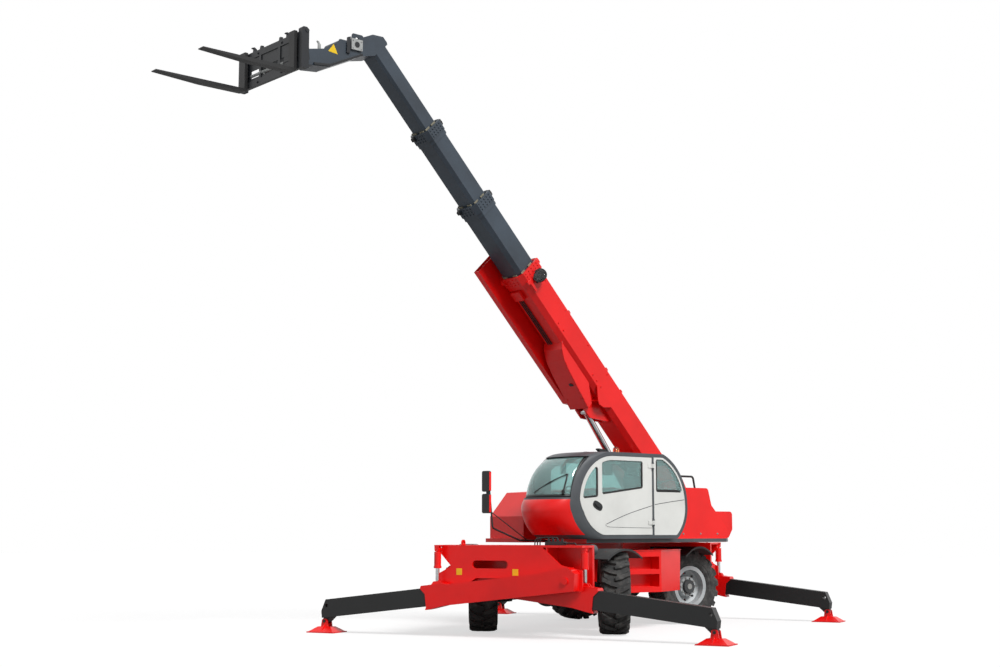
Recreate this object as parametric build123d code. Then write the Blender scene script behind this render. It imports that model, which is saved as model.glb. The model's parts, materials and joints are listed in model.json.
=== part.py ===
from build123d import *
import math
import os

# Rotating telehandler. Millimetres. -Y is forward, +X is the machine's left, +Z is up.
# The origin is on the slewing axis, at the ground.

# Driving sizes: wheels and axles.
wheel_base = 3150
track = 2050
tyre_radius = 590
tyre_width = 450
tyre_sides = 40
lug_height = 38
lug_width = 60
lug_slant = 150
bead_radius = 305
rim_lip = 22
rim_lip_thick = 14
rim_inset = 45
rim_well = 40
dish_depth = 45
disc_thick = 22
hub_radius = 165
hub_cap_radius = 112
hub_proud = 160
king_pin_x = 760
king_pin_radius = 28
knuckle_height = 240
fork_arm_thick = 30
spindle_radius = 60
axle_radius = 105
diff_radius = 210
steer_front = 27
steer_rear = -30

# Chassis.
deck_top = 1100
rail_half = 400
rail_height = 380
rail_wall = 30
axle_clear = 845
frame_edge = 35
frame_top = 1280
frame_plate = 30
frame_low = 660
arch_top = 820
arch_half = 520
rib_low = 1040
slot_length = 560
slot_height = 110
slot_z = 1010
lifting_x = 760
lifting_radius = 24
lifting_thick = 25
lifting_rise = 30
lifting_set = 65

mudguard_half = 640
mudguard_top = 1225
mudguard_low = 1090
mudguard_inner = 790
mudguard_outer = 1240
mudguard_thick = 12
mudguard_lip = 30
box_top = 1180
box_low = 560
box_half = 740
box_outer = 1210
box_wall = 12
step_depth = 200
step_height = 190
step_levels = (640, 900)
lamp_gap = 15
lamp_half = 60
lamp_x = 930
lamp_z = 1215
lamp_length = 330
lamp_height = 150
lamp_radius = 58
lamp_spacing = 150

# Stabilisers.
beam_steps = (510, 245)
beam_width = 190
beam_height = 290
beam_wall = 12
beam_gap = 3
beam_pivot_x = 950
beam_pivot_z = 800
beam_past_leg = 170
beam_pin_radius = 45
beam_root = 110
collar_flare = 70
foot_reach = 3950
foot_pin_z = 165
foot_drop = 180
foot_pin_radius = 22
beam_lap = 350
pad_length = 460
pad_width = 380
pad_thick = 16
pad_rise = 70
leg_barrel_radius = 50
leg_rod_radius = 28
leg_rod_length = 258
leg_eye_l = 2030
leg_eye_h = 175
leg_eye_width = 40
leg_eye_radius = 28
leg_lug_thick = 18
leg_top_z = 1215
leg_pin_radius = 16
leg_barrel_end = 262

# Turret.
ring_radius = 560
ring_top = 1300
base_thick = 60
slew_angle = -22
cheek_inner = 262
cheek_thick = 40
tail_y = 2570
tail_top = 1790
tail_half = 700
tail_front = 2260
tail_round = 60
weight_outer = 1000
weight_inner = 330
weight_front = 840
weight_top = 2150
hood_outer_x = -1230
hood_inner_x = -410
hood_front = -1050
hood_rear = 2250
hood_wall = 20
hood_hinge_z = 2080
hood_hinge_out = 14
hood_hinges = (-300, 1900)
hood_pin_radius = 7
louvre_count = 9
louvre_height = 20
louvre_pitch = 48
louvre_length = 620

# Boom.
boom_elevation = 46
boom_pivot_y = 1650
boom_pivot_z = 2170
boom_pin_radius = 55
boom_width = 480
boom_height = 430
boom_wall = 10
boom_gap = 18
boom_chamfer = 70
boom_rear = -350
boom_collar = 4560
section_overhang = 1320
section_count = 3
section_rear = 1180
collar_length = 160
collar_proud = 22
collar_step = 70
guide_proud = 22
boom_eyes = (1870, 2330, 3500)
shoe_length = 180
tray_width = 110
tray_drop = 225
tray_start = 2100
tray_past = 350
tray_top = 40
tray_wall = 6
lift_foot_y = 1350
lift_foot_z = 1490
lift_eye_l = 2050
lift_eye_h = -430
lift_barrel_radius = 85
lift_rod_radius = 52
lift_barrel_length = 1350
lift_rod_length = 1640
lift_pin_radius = 45
lift_plate = 30
lift_plate_inner = 80
gusset_thick = 20

# Boom head, carriage and forks.
neck_angle = 46
neck_reach = 1300
neck_fall = 360
neck_plate = 25
carriage_width = 1600
carriage_height = 500
carriage_thick = 50
carriage_top = 110
carriage_back = 400
carriage_bar = 90
column_width = 90
tilt_pin_radius = 30
fork_length = 1400
fork_width = 130
fork_thick = 50
fork_spacing = 1240
fork_drop = 45
fork_tip = 12
fork_rise = 20
fork_heel_radius = 60
shaft_radius = 20

# Cab.
cab_inner_x = 300
cab_outer_x = 1290
cab_wall = 45
cab_floor = 1360
cab_roof = 2635
glass_thick = 6
glass_inset = 20
screen_low = 1960
screen_top = 2560
nose_low = 1420
pillar = 60
corner_post = 22
corner_depth = 62
door_frame = 55
door_rear = 50
door_pillar = 40
door_gap = 5
window_frame = 65
window_round = 35
# Each window's front and rear edge, and the height of its lower edge at both.
door_windows = ((-1010, -150, 2005, 2110), (-1800, -1090, 1905, 1970))
rear_window = (135, 1000, 2060, 2060)
rear_frame = 28
right_window = (-1150, 450, 1930, 1930)
wheel_radius = 180
wheel_grip = 14
hinge_out = 16
hinge_radius = 14
hinge_pin_radius = 8
hinge_half = 30
hinge_heights = (1600, 2450)
beacon_x = 480
beacon_y = 100

# The cab's side view, as its place at the sides and in the middle, its height, and the way its
# inner face lies from it. Every arc takes three of them.
cab_points = (
    (600, 600, cab_floor, -0.6, 1), (775, 775, 1575, -1, 0.4), (830, 830, 1900, -1, 0),
    (700, 700, 2310, -0.9, -0.4),
    (300, 300, cab_roof, -0.5, -1), (-760, -1120, cab_roof, 0.5, -1), (-1265, -1590, 2455, 0.9, -0.5),
    (-1520, -1870, 1940, 1, 0), (-1500, -1950, 1850, 1, 0), (-1440, -1960, 1730, 1, 0),
    (-1290, -1860, 1520, 0.8, 0.6),
    (-990, -1640, cab_floor, 0.5, 1))
# How far the cab's front bows forward across its width, as share of the width and share of the bow.
cab_stations = ((0, 0), (0.12, 0.7), (0.5, 1), (0.88, 0.7), (1, 0))

# Worked-out sizes.
pin_fit = 0.05
rod_fit = 0.3
face_gap = 0.3
leg_x = leg_eye_l - beam_pivot_x + 5
frame_half = leg_x + frame_edge
frame_inner_y = wheel_base / 2 + axle_clear
beam_y = tuple(frame_inner_y + step for step in beam_steps)
beam_reach = leg_eye_l + beam_past_leg
lamp_y = wheel_base / 2 + mudguard_half + lamp_gap + lamp_half
head_l = boom_collar + section_count * section_overhang
head_half = boom_width / 2 - section_count * (boom_wall + boom_gap)
neck_cos, neck_sin = math.cos(math.radians(neck_angle)), math.sin(math.radians(neck_angle))
tilt_l = head_l + neck_reach * neck_cos - neck_fall * neck_sin
tilt_h = -neck_reach * neck_sin - neck_fall * neck_cos
beam_slope = math.degrees(
    math.asin((beam_pivot_z - foot_pin_z) / math.hypot(foot_reach, foot_drop))
    - math.atan2(foot_drop, foot_reach))
inner_width = beam_width - 2 * (beam_wall + beam_gap)
inner_height = beam_height - 2 * (beam_wall + beam_gap)
turret_deck = ring_top + base_thick
cab_level = cab_floor + cab_wall


# Small helpers.
def block(x0, x1, y0, y1, z0, z1):
    return Pos((x0 + x1) / 2, (y0 + y1) / 2, (z0 + z1) / 2) * Box(x1 - x0, y1 - y0, z1 - z0)


def rod_x(radius, x0, x1, y, z):
    return Pos((x0 + x1) / 2, y, z) * Rot(0, 90, 0) * Cylinder(radius, x1 - x0)


def rod_y(radius, y0, y1, x, z):
    return Pos(x, (y0 + y1) / 2, z) * Rot(90, 0, 0) * Cylinder(radius, y1 - y0)


def rod_z(radius, z0, z1, x, y):
    return Pos(x, y, (z0 + z1) / 2) * Cylinder(radius, z1 - z0)


def outline(points, radius=0):
    """A closed outline, with all its corners rounded where a radius is given."""
    face = Polygon(*points, align=None)
    return fillet(face.vertices(), radius) if radius else face


def side_plate(points, x0, x1, radius=0):
    """A plate whose outline lies in Y and Z."""
    return extrude(Plane.YZ.offset(x0) * outline(points, radius), amount=x1 - x0, dir=(1, 0, 0))


def front_plate(points, y0, y1, radius=0):
    """A plate whose outline lies in X and Z."""
    return extrude(Plane.XZ.offset(-y0) * outline(points, radius), amount=y1 - y0, dir=(0, 1, 0))


def deck_plate(points, z0, z1, radius=0):
    """A plate whose outline lies in X and Y."""
    return extrude(Plane.XY.offset(z0) * outline(points, radius), amount=z1 - z0, dir=(0, 0, 1))


def side_face(face, x0, x1):
    """A plate from a ready face whose own axes become Y and Z."""
    return extrude(Plane.YZ.offset(x0) * face, amount=x1 - x0, dir=(1, 0, 0))


def both_sides(inner, outer):
    """The X range of a piece on each side, low end first."""
    return (inner, outer), (-outer, -inner)


def save(name, *shapes):
    solids = [solid for shape in shapes for solid in shape.solids()]
    os.makedirs("parts", exist_ok=True)
    export_step(Compound(children=solids), f"parts/{name}.step")


turret_place = Rot(0, 0, slew_angle)
boom_place = turret_place * Pos(0, boom_pivot_y, boom_pivot_z) * Rot(-boom_elevation, 0, 0)
neck_place = boom_place * Pos(0, -head_l, 0) * Rot(neck_angle, 0, 0)


# Chassis.
def chassis_frame():
    """A hollow rail box with the slewing ring's pedestal on it and an end frame at each end."""
    low = deck_top - rail_height
    hollow_end = frame_inner_y - 200
    frame = block(-rail_half, rail_half, -frame_inner_y, frame_inner_y, low, deck_top)
    frame -= block(-rail_half + rail_wall, rail_half - rail_wall, -hollow_end, hollow_end, low - 1,
                   deck_top - rail_wall)
    frame += rod_z(ring_radius, deck_top - 5, ring_top - 105, 0, 0)
    frame += rod_z(ring_radius - 60, ring_top - 110, ring_top - face_gap, 0, 0)
    return frame + end_frame(-1) + end_frame(1)


def end_frame(end):
    """Twin plates with an arch under them, which carry the scissor beams of one end.
    The outer plate steps down on one side, where the inner beam's cylinder stands open."""
    inner, outer = frame_inner_y, beam_y[0] - beam_width / 2 - 5
    foot = beam_pivot_x - 140
    arch = [(-foot, frame_low - 20), (-arch_half, arch_top), (arch_half, arch_top), (foot, frame_low - 20)]
    back = [(frame_half, frame_low), (frame_half, frame_top), (-frame_half, frame_top),
            (-frame_half, frame_low)]
    front = [(frame_half, frame_low), (frame_half, frame_low + 220), (frame_half - 200, frame_top - 300),
             (frame_half, frame_top - 90), (frame_half - 70, frame_top), (-480, frame_top),
             (-800, frame_top - 270),
             (-frame_half, frame_top - 340), (-frame_half, frame_low)]
    plates = front_plate(arch + back, inner, inner + 2 * frame_plate)
    face = front_plate(arch + front, outer - frame_plate, outer, 22)
    face -= Pos(300, outer, slot_z) * extrude(Plane.XZ * SlotOverall(slot_length, slot_height), amount=100,
                                              both=True)
    plates += face
    plates += block(-frame_half, frame_half, inner, outer, frame_top - frame_plate, frame_top)
    for x in (-arch_half - 60, arch_half + 60):
        plates += block(x - 10, x + 10, inner, outer - 1, rib_low, frame_top - 1)
    for x, row, y1 in ((leg_x, 0, outer - 5), (-leg_x, 1, inner + 10)):
        for side in (-1, 1):
            lo, hi = sorted(beam_y[row] + side * (leg_eye_width / 2 + offset)
                            for offset in (2, 2 + leg_lug_thick))
            plates += side_ear(x, lo, hi)
        start = y1 if row == 0 else beam_y[row] - leg_eye_width / 2 - leg_lug_thick
        plates += rod_y(leg_pin_radius, start, beam_y[row] + leg_eye_width / 2 + leg_lug_thick + 2, x,
                        leg_top_z)
    shelf_end = beam_y[0] + leg_eye_width / 2 + leg_lug_thick + 2
    plates += block(leg_x - 45, leg_x + 35, outer - 5, shelf_end, frame_top - 12, frame_top)
    pin_end = beam_y[0] + beam_width / 2 + 30
    plates += rod_y(beam_pin_radius, outer - 5, pin_end, -beam_pivot_x, beam_pivot_z)
    plates += rod_y(beam_pin_radius + 25, outer - 5, outer + 3, -beam_pivot_x, beam_pivot_z)
    plates += rod_y(beam_pin_radius, inner + 10, outer - 10, beam_pivot_x, beam_pivot_z)
    if end < 0:
        plates += lifting_eye(outer)
    return plates if end > 0 else Rot(0, 0, 180) * plates


def side_ear(x, y0, y1):
    """One ear of the clevis that a stabiliser cylinder hangs from."""
    outline_points = [(x - 40, frame_top - 1), (x + 35, frame_top - 1), (x + 30, leg_top_z - 12),
                      (x + 14, leg_top_z - 28), (x - 14, leg_top_z - 28), (x - 30, leg_top_z - 12)]
    return front_plate(outline_points, y0, y1)


def lifting_eye(face_y):
    """A ring lug on the top of the front frame, with its bore along X."""
    x0, x1 = lifting_x - lifting_thick / 2, lifting_x + lifting_thick / 2
    y, z = face_y - lifting_set, frame_top + lifting_rise
    eye = block(x0, x1, y - 45, y + 45, frame_top - 1, z) + rod_x(45, x0, x1, y, z)
    return eye - rod_x(lifting_radius, x0 - 1, x1 + 1, y, z)


def axle_beams():
    shapes = []
    arm_end, arm_root = king_pin_x + 55, king_pin_x - 150
    low, high = tyre_radius - 150, tyre_radius + 150
    for end in (-1, 1):
        y = end * wheel_base / 2
        axle = rod_x(axle_radius, -king_pin_x + 130, king_pin_x - 130, y, tyre_radius)
        axle += Pos(0, y, tyre_radius) * Sphere(diff_radius)
        axle += rod_y(diff_radius - 60, y - diff_radius - 30, y, 0, tyre_radius)
        axle += block(-120, 120, y - 150, y + 150, tyre_radius + 150, deck_top - rail_wall - face_gap)
        for x0, x1 in both_sides(arm_root, arm_end):
            axle += block(x0, x1, y - 60, y + 60, low, low + fork_arm_thick)
            axle += block(x0, x1, y - 60, y + 60, high - fork_arm_thick, high)
        for x0, x1 in both_sides(arm_root, arm_root + 40):
            axle += block(x0, x1, y - 60, y + 60, low, high)
        for x in (-king_pin_x, king_pin_x):
            axle += rod_z(king_pin_radius, low, high, x, y)
        shapes.append(axle)
    return shapes


def knuckle():
    """Built for a left wheel, with the king pin on the origin's Z axis and the hub along +X."""
    half = knuckle_height / 2 - face_gap
    body = rod_z(60, -half, half, 0, 0)
    body += rod_x(90, 30, 90, 0, 0)
    body += rod_x(spindle_radius, 60, track / 2 - king_pin_x + 130, 0, 0)
    body += deck_plate([(-30, 30), (45, 30), (35, 190), (-20, 190)], -25, 25)
    return body - rod_z(king_pin_radius + pin_fit, -knuckle_height, knuckle_height, 0, 0)


def rim():
    """Turned about X, with its middle plane on the origin and its outer face towards +X."""
    half = tyre_width / 2 - rim_inset
    seat, well, lip = bead_radius - 1, bead_radius - rim_well, bead_radius + rim_lip
    disc = 60
    section = [
        (-half, lip), (-half + rim_lip_thick, lip), (-half + rim_lip_thick, seat),
        (half - rim_lip_thick, seat),
        (half - rim_lip_thick, lip), (half, lip), (half, well), (disc, well), (disc - dish_depth, hub_radius),
        (hub_proud - 40, hub_radius - 10), (hub_proud - 40, hub_cap_radius), (hub_proud, hub_cap_radius - 8),
        (hub_proud, 0), (-60, 0), (-60, hub_radius), (disc - dish_depth - disc_thick, hub_radius),
        (disc - disc_thick, well), (-half, well)]
    body = revolve(Plane.XY * outline(section), axis=Axis.X)
    body -= rod_x(spindle_radius + pin_fit, -300, hub_proud - 25, 0, 0)
    for index in range(8):
        body -= Rot(45 * index, 0, 0) * rod_x(24, -100, 100, 0, (hub_radius + well) / 2)
    return body


def ring_band(x0, radius0, x1, radius1):
    """A many-sided cone frustum about X."""
    ends = [Plane.YZ.offset(x) * RegularPolygon(radius, tyre_sides)
            for x, radius in ((x0, radius0), (x1, radius1))]
    return loft(ends, ruled=True)


def tyre():
    """A many-sided ring with slanted lugs from the middle of the tread over each shoulder."""
    half, crown = tyre_width / 2, tyre_radius - lug_height
    seat = half - rim_inset - rim_lip_thick - 0.5
    bulge, toe = bead_radius + 150, bead_radius + rim_lip + 6
    body = ring_band(-half, bulge, -half + 30, crown) + ring_band(-half + 30, crown, half - 30, crown)
    body += ring_band(half - 30, crown, half, bulge)
    body -= [ring_band(-half, bulge, -seat, toe), ring_band(seat, toe, half, bulge)]
    reach = (lug_slant + lug_width) / 2
    lug_top = math.sqrt(tyre_radius ** 2 - reach ** 2)
    lugs = []
    for index in range(tyre_sides):
        side = 1 if index % 2 else -1
        plan = [(side * -12, -reach), (side * -12, -reach + lug_width),
                (side * 90, -reach + lug_width + 0.45 * lug_slant),
                (side * (half - 10), reach), (side * (half - 10), reach - lug_width),
                (side * 90, -reach + 0.45 * lug_slant)]
        lugs.append(Rot(360 / tyre_sides * index, 0, 0) * deck_plate(plan, bulge + 25, lug_top))
    body += lugs
    bore = RegularPolygon(bead_radius - 0.7, tyre_sides, major_radius=False)
    return body - extrude(Plane.YZ.offset(-half) * bore, amount=tyre_width, dir=(1, 0, 0))


def mudguards():
    shapes = []
    for end in (-1, 1):
        y = end * wheel_base / 2
        front, back = y - mudguard_half, y + mudguard_half
        for side in (-1, 1):
            guard = None
            for depth, edge in ((mudguard_thick, mudguard_inner), (mudguard_lip, mudguard_outer - 8)):
                bow = [ThreePointArc((front, mudguard_low), (y, mudguard_top), (back, mudguard_low)),
                       Line((back, mudguard_low), (back, mudguard_low - depth)),
                       ThreePointArc((back, mudguard_low - depth), (y, mudguard_top - depth),
                                     (front, mudguard_low - depth)),
                       Line((front, mudguard_low - depth), (front, mudguard_low))]
                lo, hi = sorted((side * edge, side * mudguard_outer))
                sheet = side_face(make_face(Curve() + bow), lo, hi)
                guard = sheet if guard is None else guard + sheet
            lo, hi = sorted((side * (rail_half + face_gap), side * (mudguard_inner + 10)))
            guard += block(lo, hi, y - 40, y + 40, mudguard_top - 30, mudguard_top - 5)
            lo, hi = sorted((side * (rail_half + face_gap), side * (rail_half + 12)))
            guard += block(lo, hi, y - 60, y + 60, deck_top - 100, mudguard_top - 5)
            shapes.append(guard)
    return shapes


step_root = (850, -box_half)
step_end = (box_outer, -90)
step_run = math.hypot(step_end[0] - step_root[0], step_end[1] - step_root[1])
step_turn = math.degrees(math.atan2(step_end[1] - step_root[1], step_end[0] - step_root[0]))


def side_boxes():
    """A step box on the left, whose front corner is cut off and holds two steps, and a tank on the right."""
    ring_space = rod_z(ring_radius + 5, deck_top - 10, ring_top, 0, 0)
    inner = rail_half + face_gap
    plan = [(inner, -box_half), step_root, step_end, (box_outer, box_half), (inner, box_half)]
    left = deck_plate(plan, box_low, box_top)
    left &= side_plate([(-box_half + 60, box_low), (box_half - 40, box_low), (box_half, box_top),
                        (-box_half, box_top)],
                       0, box_outer + 1)
    left -= ring_space
    for z in step_levels:
        recess = block(40, step_run - 40, -80, step_depth, z, z + step_height)
        left -= Pos(*step_root, 0) * Rot(0, 0, step_turn) * recess
    left += deck_plate([(p[0] + 12 * (p[0] > inner), p[1] * 1.01) for p in plan], box_top - 0.5,
                       box_top + box_wall) - ring_space
    tank = [(-box_half + 100, box_low), (box_half - 100, box_low), (box_half, box_low + 140),
            (box_half, box_top),
            (-box_half, box_top), (-box_half, box_low + 140)]
    right = side_plate(tank, -box_outer, -inner, 40) - ring_space
    for y in (-0.5 * box_half, 0.5 * box_half):
        right += side_plate([(y - 25, box_low - 4), (y + 25, box_low - 4), (y + 25, box_top + 4),
                             (y - 25, box_top + 4)],
                            -box_outer - 4, -inner) - ring_space
    right += rod_z(55, box_top - 1, box_top + 35, -box_outer + 130, box_half - 130)
    return left, right


def headlamps():
    """An oval housing with two sunk round lamps on each side, on an arm from the rail."""
    shapes = []
    for side in (-1, 1):
        x = side * lamp_x
        housing = extrude(Plane.XZ * SlotOverall(lamp_length, lamp_height), amount=lamp_half, both=True)
        for offset_x in (-lamp_spacing / 2, lamp_spacing / 2):
            housing -= rod_y(lamp_radius, -lamp_half - 1, -lamp_half + 35, offset_x, 0)
            housing += rod_y(lamp_radius - 8, -lamp_half + 12, -lamp_half + 36, offset_x, 0)
        lamp = Pos(x, -lamp_y, lamp_z) * housing
        lo, hi = sorted((side * (rail_half + face_gap), side * (lamp_x - 30)))
        lamp += block(lo, hi, -lamp_y + 20, -lamp_y + 55, lamp_z - 60, lamp_z - 25)
        lo, hi = sorted((side * (rail_half + face_gap), side * (rail_half + 20)))
        lamp += block(lo, hi, -lamp_y - 10, -lamp_y + 60, deck_top - 120, lamp_z - 25)
        shapes.append(lamp)
    return shapes


# Stabilisers.
def outer_beam():
    """Lies along +X from its pivot at the origin, and is open at its far end."""
    half, top = beam_width / 2, beam_height / 2
    body = block(-beam_root, beam_reach, -half, half, -top, top)
    body += front_plate([(-beam_root, -top), (-beam_root - 40, top - 60), (-60, top + 35), (90, top + 35),
                         (420, top - 1), (420, 0), (0, -top)], -half, half)
    body += front_plate([(beam_reach - 300, 1 - top), (beam_reach - 60, -top - 28),
                         (beam_reach + 20, -top - 34),
                         (beam_reach, -top + 10), (beam_reach - 20, 20),
                         (beam_reach + collar_flare, top - 20),
                         (beam_reach + collar_flare - 15, top + 20), (beam_reach - 260, top + 22),
                         (beam_reach - 380, top - 1)], -half, half)
    body -= block(120, beam_reach + 200, -half + beam_wall, half - beam_wall, -top + beam_wall,
                  top - beam_wall)
    lug_points = [(leg_eye_l - 190, top - 5), (leg_eye_l - 45, leg_eye_h + 32),
                  (leg_eye_l + 45, leg_eye_h + 32),
                  (leg_eye_l + 110, top - 5)]
    inner = leg_eye_width / 2 + 2
    for y0, y1 in ((-inner - leg_lug_thick, -inner), (inner, inner + leg_lug_thick)):
        body += front_plate(lug_points, y0, y1)
    body -= block(leg_eye_l - 60, leg_eye_l + 80, -inner, inner, top - 1, leg_eye_h + 100)
    return body - rod_y(beam_pin_radius + pin_fit, -200, 200, 0, 0)


def inner_beam():
    """The sliding beam, cut off on the slant at its foot, with the foot's bracket and cross pin."""
    start, half, top = beam_reach - beam_lap, inner_width / 2, inner_height / 2
    body = block(start, foot_reach + 40, -half, half, -top, top)
    liner = beam_wall + face_gap
    body += block(start, start + 200, -beam_width / 2 + liner, beam_width / 2 - liner,
                  -beam_height / 2 + liner, beam_height / 2 - liner)
    body -= front_plate([(foot_reach - 60, 2 * top), (foot_reach + 200, 2 * top),
                         (foot_reach + 200, -2 * top),
                         (foot_reach + 30, -2 * top), (foot_reach + 30, -30), (foot_reach - 60, top)],
                         -200, 200)
    body += front_plate([(foot_reach - 160, 5 - top), (foot_reach - 40, -foot_drop - 30),
                         (foot_reach, -foot_drop - 42), (foot_reach + 40, -foot_drop - 20),
                         (foot_reach + 28, 5 - top)], -40, 40)
    body -= rod_y(26, -200, 200, foot_reach - 70, 40)
    return body + rod_y(foot_pin_radius, -80, 80, foot_reach, -foot_drop)


def foot_pad():
    """A welded pyramid that hangs on the beam's cross pin, which is at the origin."""
    base = -foot_pin_z
    body = Pos(0, 0, base + pad_thick / 2) * Box(pad_length, pad_width, pad_thick)
    body += Pos(0, 0, base + pad_thick) * extrude(Rectangle(pad_length - 40, pad_width - 40),
                                                  amount=pad_rise, taper=55)
    for y0 in (-62, 42):
        body += front_plate([(-70, base + 30), (70, base + 30), (45, 20), (20, 36), (-20, 36), (-45, 20)],
                            y0, y0 + 20)
    for sign in (-1, 1):
        lo, hi = sorted((sign * 62, sign * (pad_width / 2 - 20)))
        body += side_plate([(lo, base + pad_thick - 1), (hi, base + pad_thick - 1),
                            (sign * 62, base + 120)], -8, 8)
    return body - rod_y(foot_pin_radius + pin_fit, -200, 200, 0, 0)


def leg_barrel():
    """Hangs down from its pin at the origin."""
    body = rod_z(leg_barrel_radius, -leg_barrel_end, -32, 0, 0)
    body += rod_z(leg_barrel_radius + 6, -leg_barrel_end, -leg_barrel_end + 30, 0, 0)
    body -= rod_z(leg_rod_radius + rod_fit, -leg_barrel_end - 1, -38, 0, 0)
    body += rod_y(leg_eye_radius, -leg_eye_width / 2, leg_eye_width / 2, 0, 0)
    body += block(-18, 18, -leg_eye_width / 2, leg_eye_width / 2, -33, 0)
    return body - rod_y(leg_pin_radius + pin_fit, -100, 100, 0, 0)


def leg_rod():
    """Stands up from its eye at the origin."""
    neck = block(-18, 18, -leg_eye_width / 2, leg_eye_width / 2, 0, 46)
    eye = rod_y(leg_eye_radius, -leg_eye_width / 2, leg_eye_width / 2, 0, 0)
    return rod_z(leg_rod_radius, 45, leg_rod_length, 0, 0) + neck + eye


def beam_place(end, row):
    """One beam's frame: pivot at the origin, beam along its +X, foot end lowered."""
    to_right = (end < 0) == (row == 0)
    pivot_x = beam_pivot_x if to_right else -beam_pivot_x
    turn = Rot(0, 0, 180 if to_right else 0)
    return Pos(pivot_x, end * beam_y[row], beam_pivot_z) * turn * Rot(0, beam_slope, 0)


def save_stabiliser(name, end, row):
    place = beam_place(end, row)
    save("beam_" + name, place * outer_beam())
    save("beam_slide_" + name, place * inner_beam())
    foot = (place * Pos(foot_reach, 0, -foot_drop)).position
    save("foot_" + name, Pos(*foot) * foot_pad())
    eye = (place * Pos(leg_eye_l, 0, leg_eye_h)).position
    to_right = (end < 0) == (row == 0)
    top = Vector(-leg_x if to_right else leg_x, eye.Y, leg_top_z)
    lean = math.degrees(math.atan2(top.X - eye.X, top.Z - eye.Z))
    save("leg_barrel_" + name, Pos(*top) * Rot(0, lean, 0) * leg_barrel())
    save("leg_rod_" + name, Pos(*eye) * Rot(0, lean, 0) * leg_rod())


# Turret.
def turret_frame():
    """The deck on the slewing ring, two cheeks for the boom's pins, and the engine bay's firewall."""
    low, deck = ring_top, turret_deck
    base = deck_plate([(-1180, -1150), (-330, -1150), (-250, -700), (280, -700), (320, -1250), (1200, -1250),
                       (1230, 480), (weight_outer + 20, 620), (weight_outer + 20, 2030), (720, 2420),
                       (-700, 2420),
                       (-1150, 2150), (-1200, 400)], low, deck - face_gap)
    cheek = [(900, deck - 1), (2250, deck - 1), (2150, 1750), (1820, 2310), (1480, 2310), (1180, 1900)]
    for x0 in (-cheek_inner - cheek_thick, cheek_inner):
        base += side_plate(cheek, x0, x0 + cheek_thick)
        base += rod_x(95, x0 - 6 * (x0 < 0), x0 + cheek_thick + 6 * (x0 > 0), boom_pivot_y, boom_pivot_z)
        base += rod_x(80, x0, x0 + cheek_thick, lift_foot_y, lift_foot_z)
    base += rod_x(boom_pin_radius, -cheek_inner - 60, cheek_inner + 60, boom_pivot_y, boom_pivot_z)
    base += rod_x(lift_pin_radius, -cheek_inner - 50, cheek_inner + 50, lift_foot_y, lift_foot_z)
    base += block(-cheek_inner - 1, cheek_inner + 1, 2100, 2220, deck - 1, 1700)
    x0 = hood_inner_x + 6
    base += side_plate([(hood_front, deck - 1), (hood_rear, deck - 1), (hood_rear, 2030), (-650, 2030),
                        (hood_front, 1650)], x0, x0 + 10)
    for y in hood_hinges:
        for y0 in (y - 60, y + 40 + face_gap):
            y1 = y0 + 20 - face_gap
            base += rod_y(12, y0, y1, hood_inner_x + hood_hinge_out, hood_hinge_z)
            base += block(x0, x0 + 8, y0, y1, 2029, hood_hinge_z)
        base += rod_y(hood_pin_radius, y - 60, y + 60, hood_inner_x + hood_hinge_out, hood_hinge_z)
    return base


def counterweight():
    """The upper block beside the boom, whose rear edge leans back, and the round lobe across the tail."""
    low = turret_deck
    side = [(weight_front, low), (2060, low), (2110, 1500), (1720, 1880), (1640, weight_top),
            (weight_front, weight_top)]
    weight = side_plate(side, weight_inner, weight_outer, tail_round)
    weight += side_plate([(weight_front + 200, low), (2000, low), (2000, low + 120),
                          (weight_front + 200, low + 120)],
                         weight_inner, weight_outer)
    for front, x0, x1 in ((1500, weight_inner, tail_half), (tail_front, -tail_half, weight_inner + 1)):
        lobe = [(front, low), (2470, low), (tail_y, 1500), (tail_y, tail_top), (front, tail_top)]
        weight += side_plate(lobe, x0, x1, tail_round)
    return weight


def engine_block():
    low = turret_deck
    return block(-1100, -460, -500, 1000, low + 60, 1950) + block(-1050, -470, -400, 900, low, low + 61)


def engine_cover():
    """A steel hood with louvres in its outer side, hinged along its inner top edge."""
    low = turret_deck + face_gap
    profile = [(hood_front, low), (hood_rear, low), (hood_rear, 2080), (900, 2180), (-700, 2080),
               (hood_front, 1700)]
    inside = [(hood_front + hood_wall, low - 1), (hood_rear - hood_wall, low - 1),
              (hood_rear - hood_wall, 2062),
              (900, 2160), (-690, 2062), (hood_front + hood_wall, 1695)]
    skin = side_plate(profile, hood_outer_x, hood_inner_x)
    skin = chamfer(skin.faces().sort_by(Axis.X)[0].edges(), 40)
    skin -= side_plate(inside, hood_outer_x + hood_wall, hood_inner_x + 1)
    for y in (100, 1300):
        for index in range(louvre_count):
            z = 1540 + index * louvre_pitch
            skin -= block(hood_outer_x - 1, hood_outer_x + hood_wall + 1, y - louvre_length / 2,
                          y + louvre_length / 2,
                          z, z + louvre_height)
    for y in hood_hinges:
        skin += rod_y(12, y - 40, y + 40, hood_inner_x + hood_hinge_out, hood_hinge_z)
        skin += block(hood_inner_x - 60, hood_inner_x + hood_hinge_out, y - 40, y + 40, hood_hinge_z - 12,
                      hood_hinge_z + 12)
        skin -= rod_y(hood_pin_radius + pin_fit, y - 200, y + 200, hood_inner_x + hood_hinge_out,
                      hood_hinge_z)
    return skin


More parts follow.
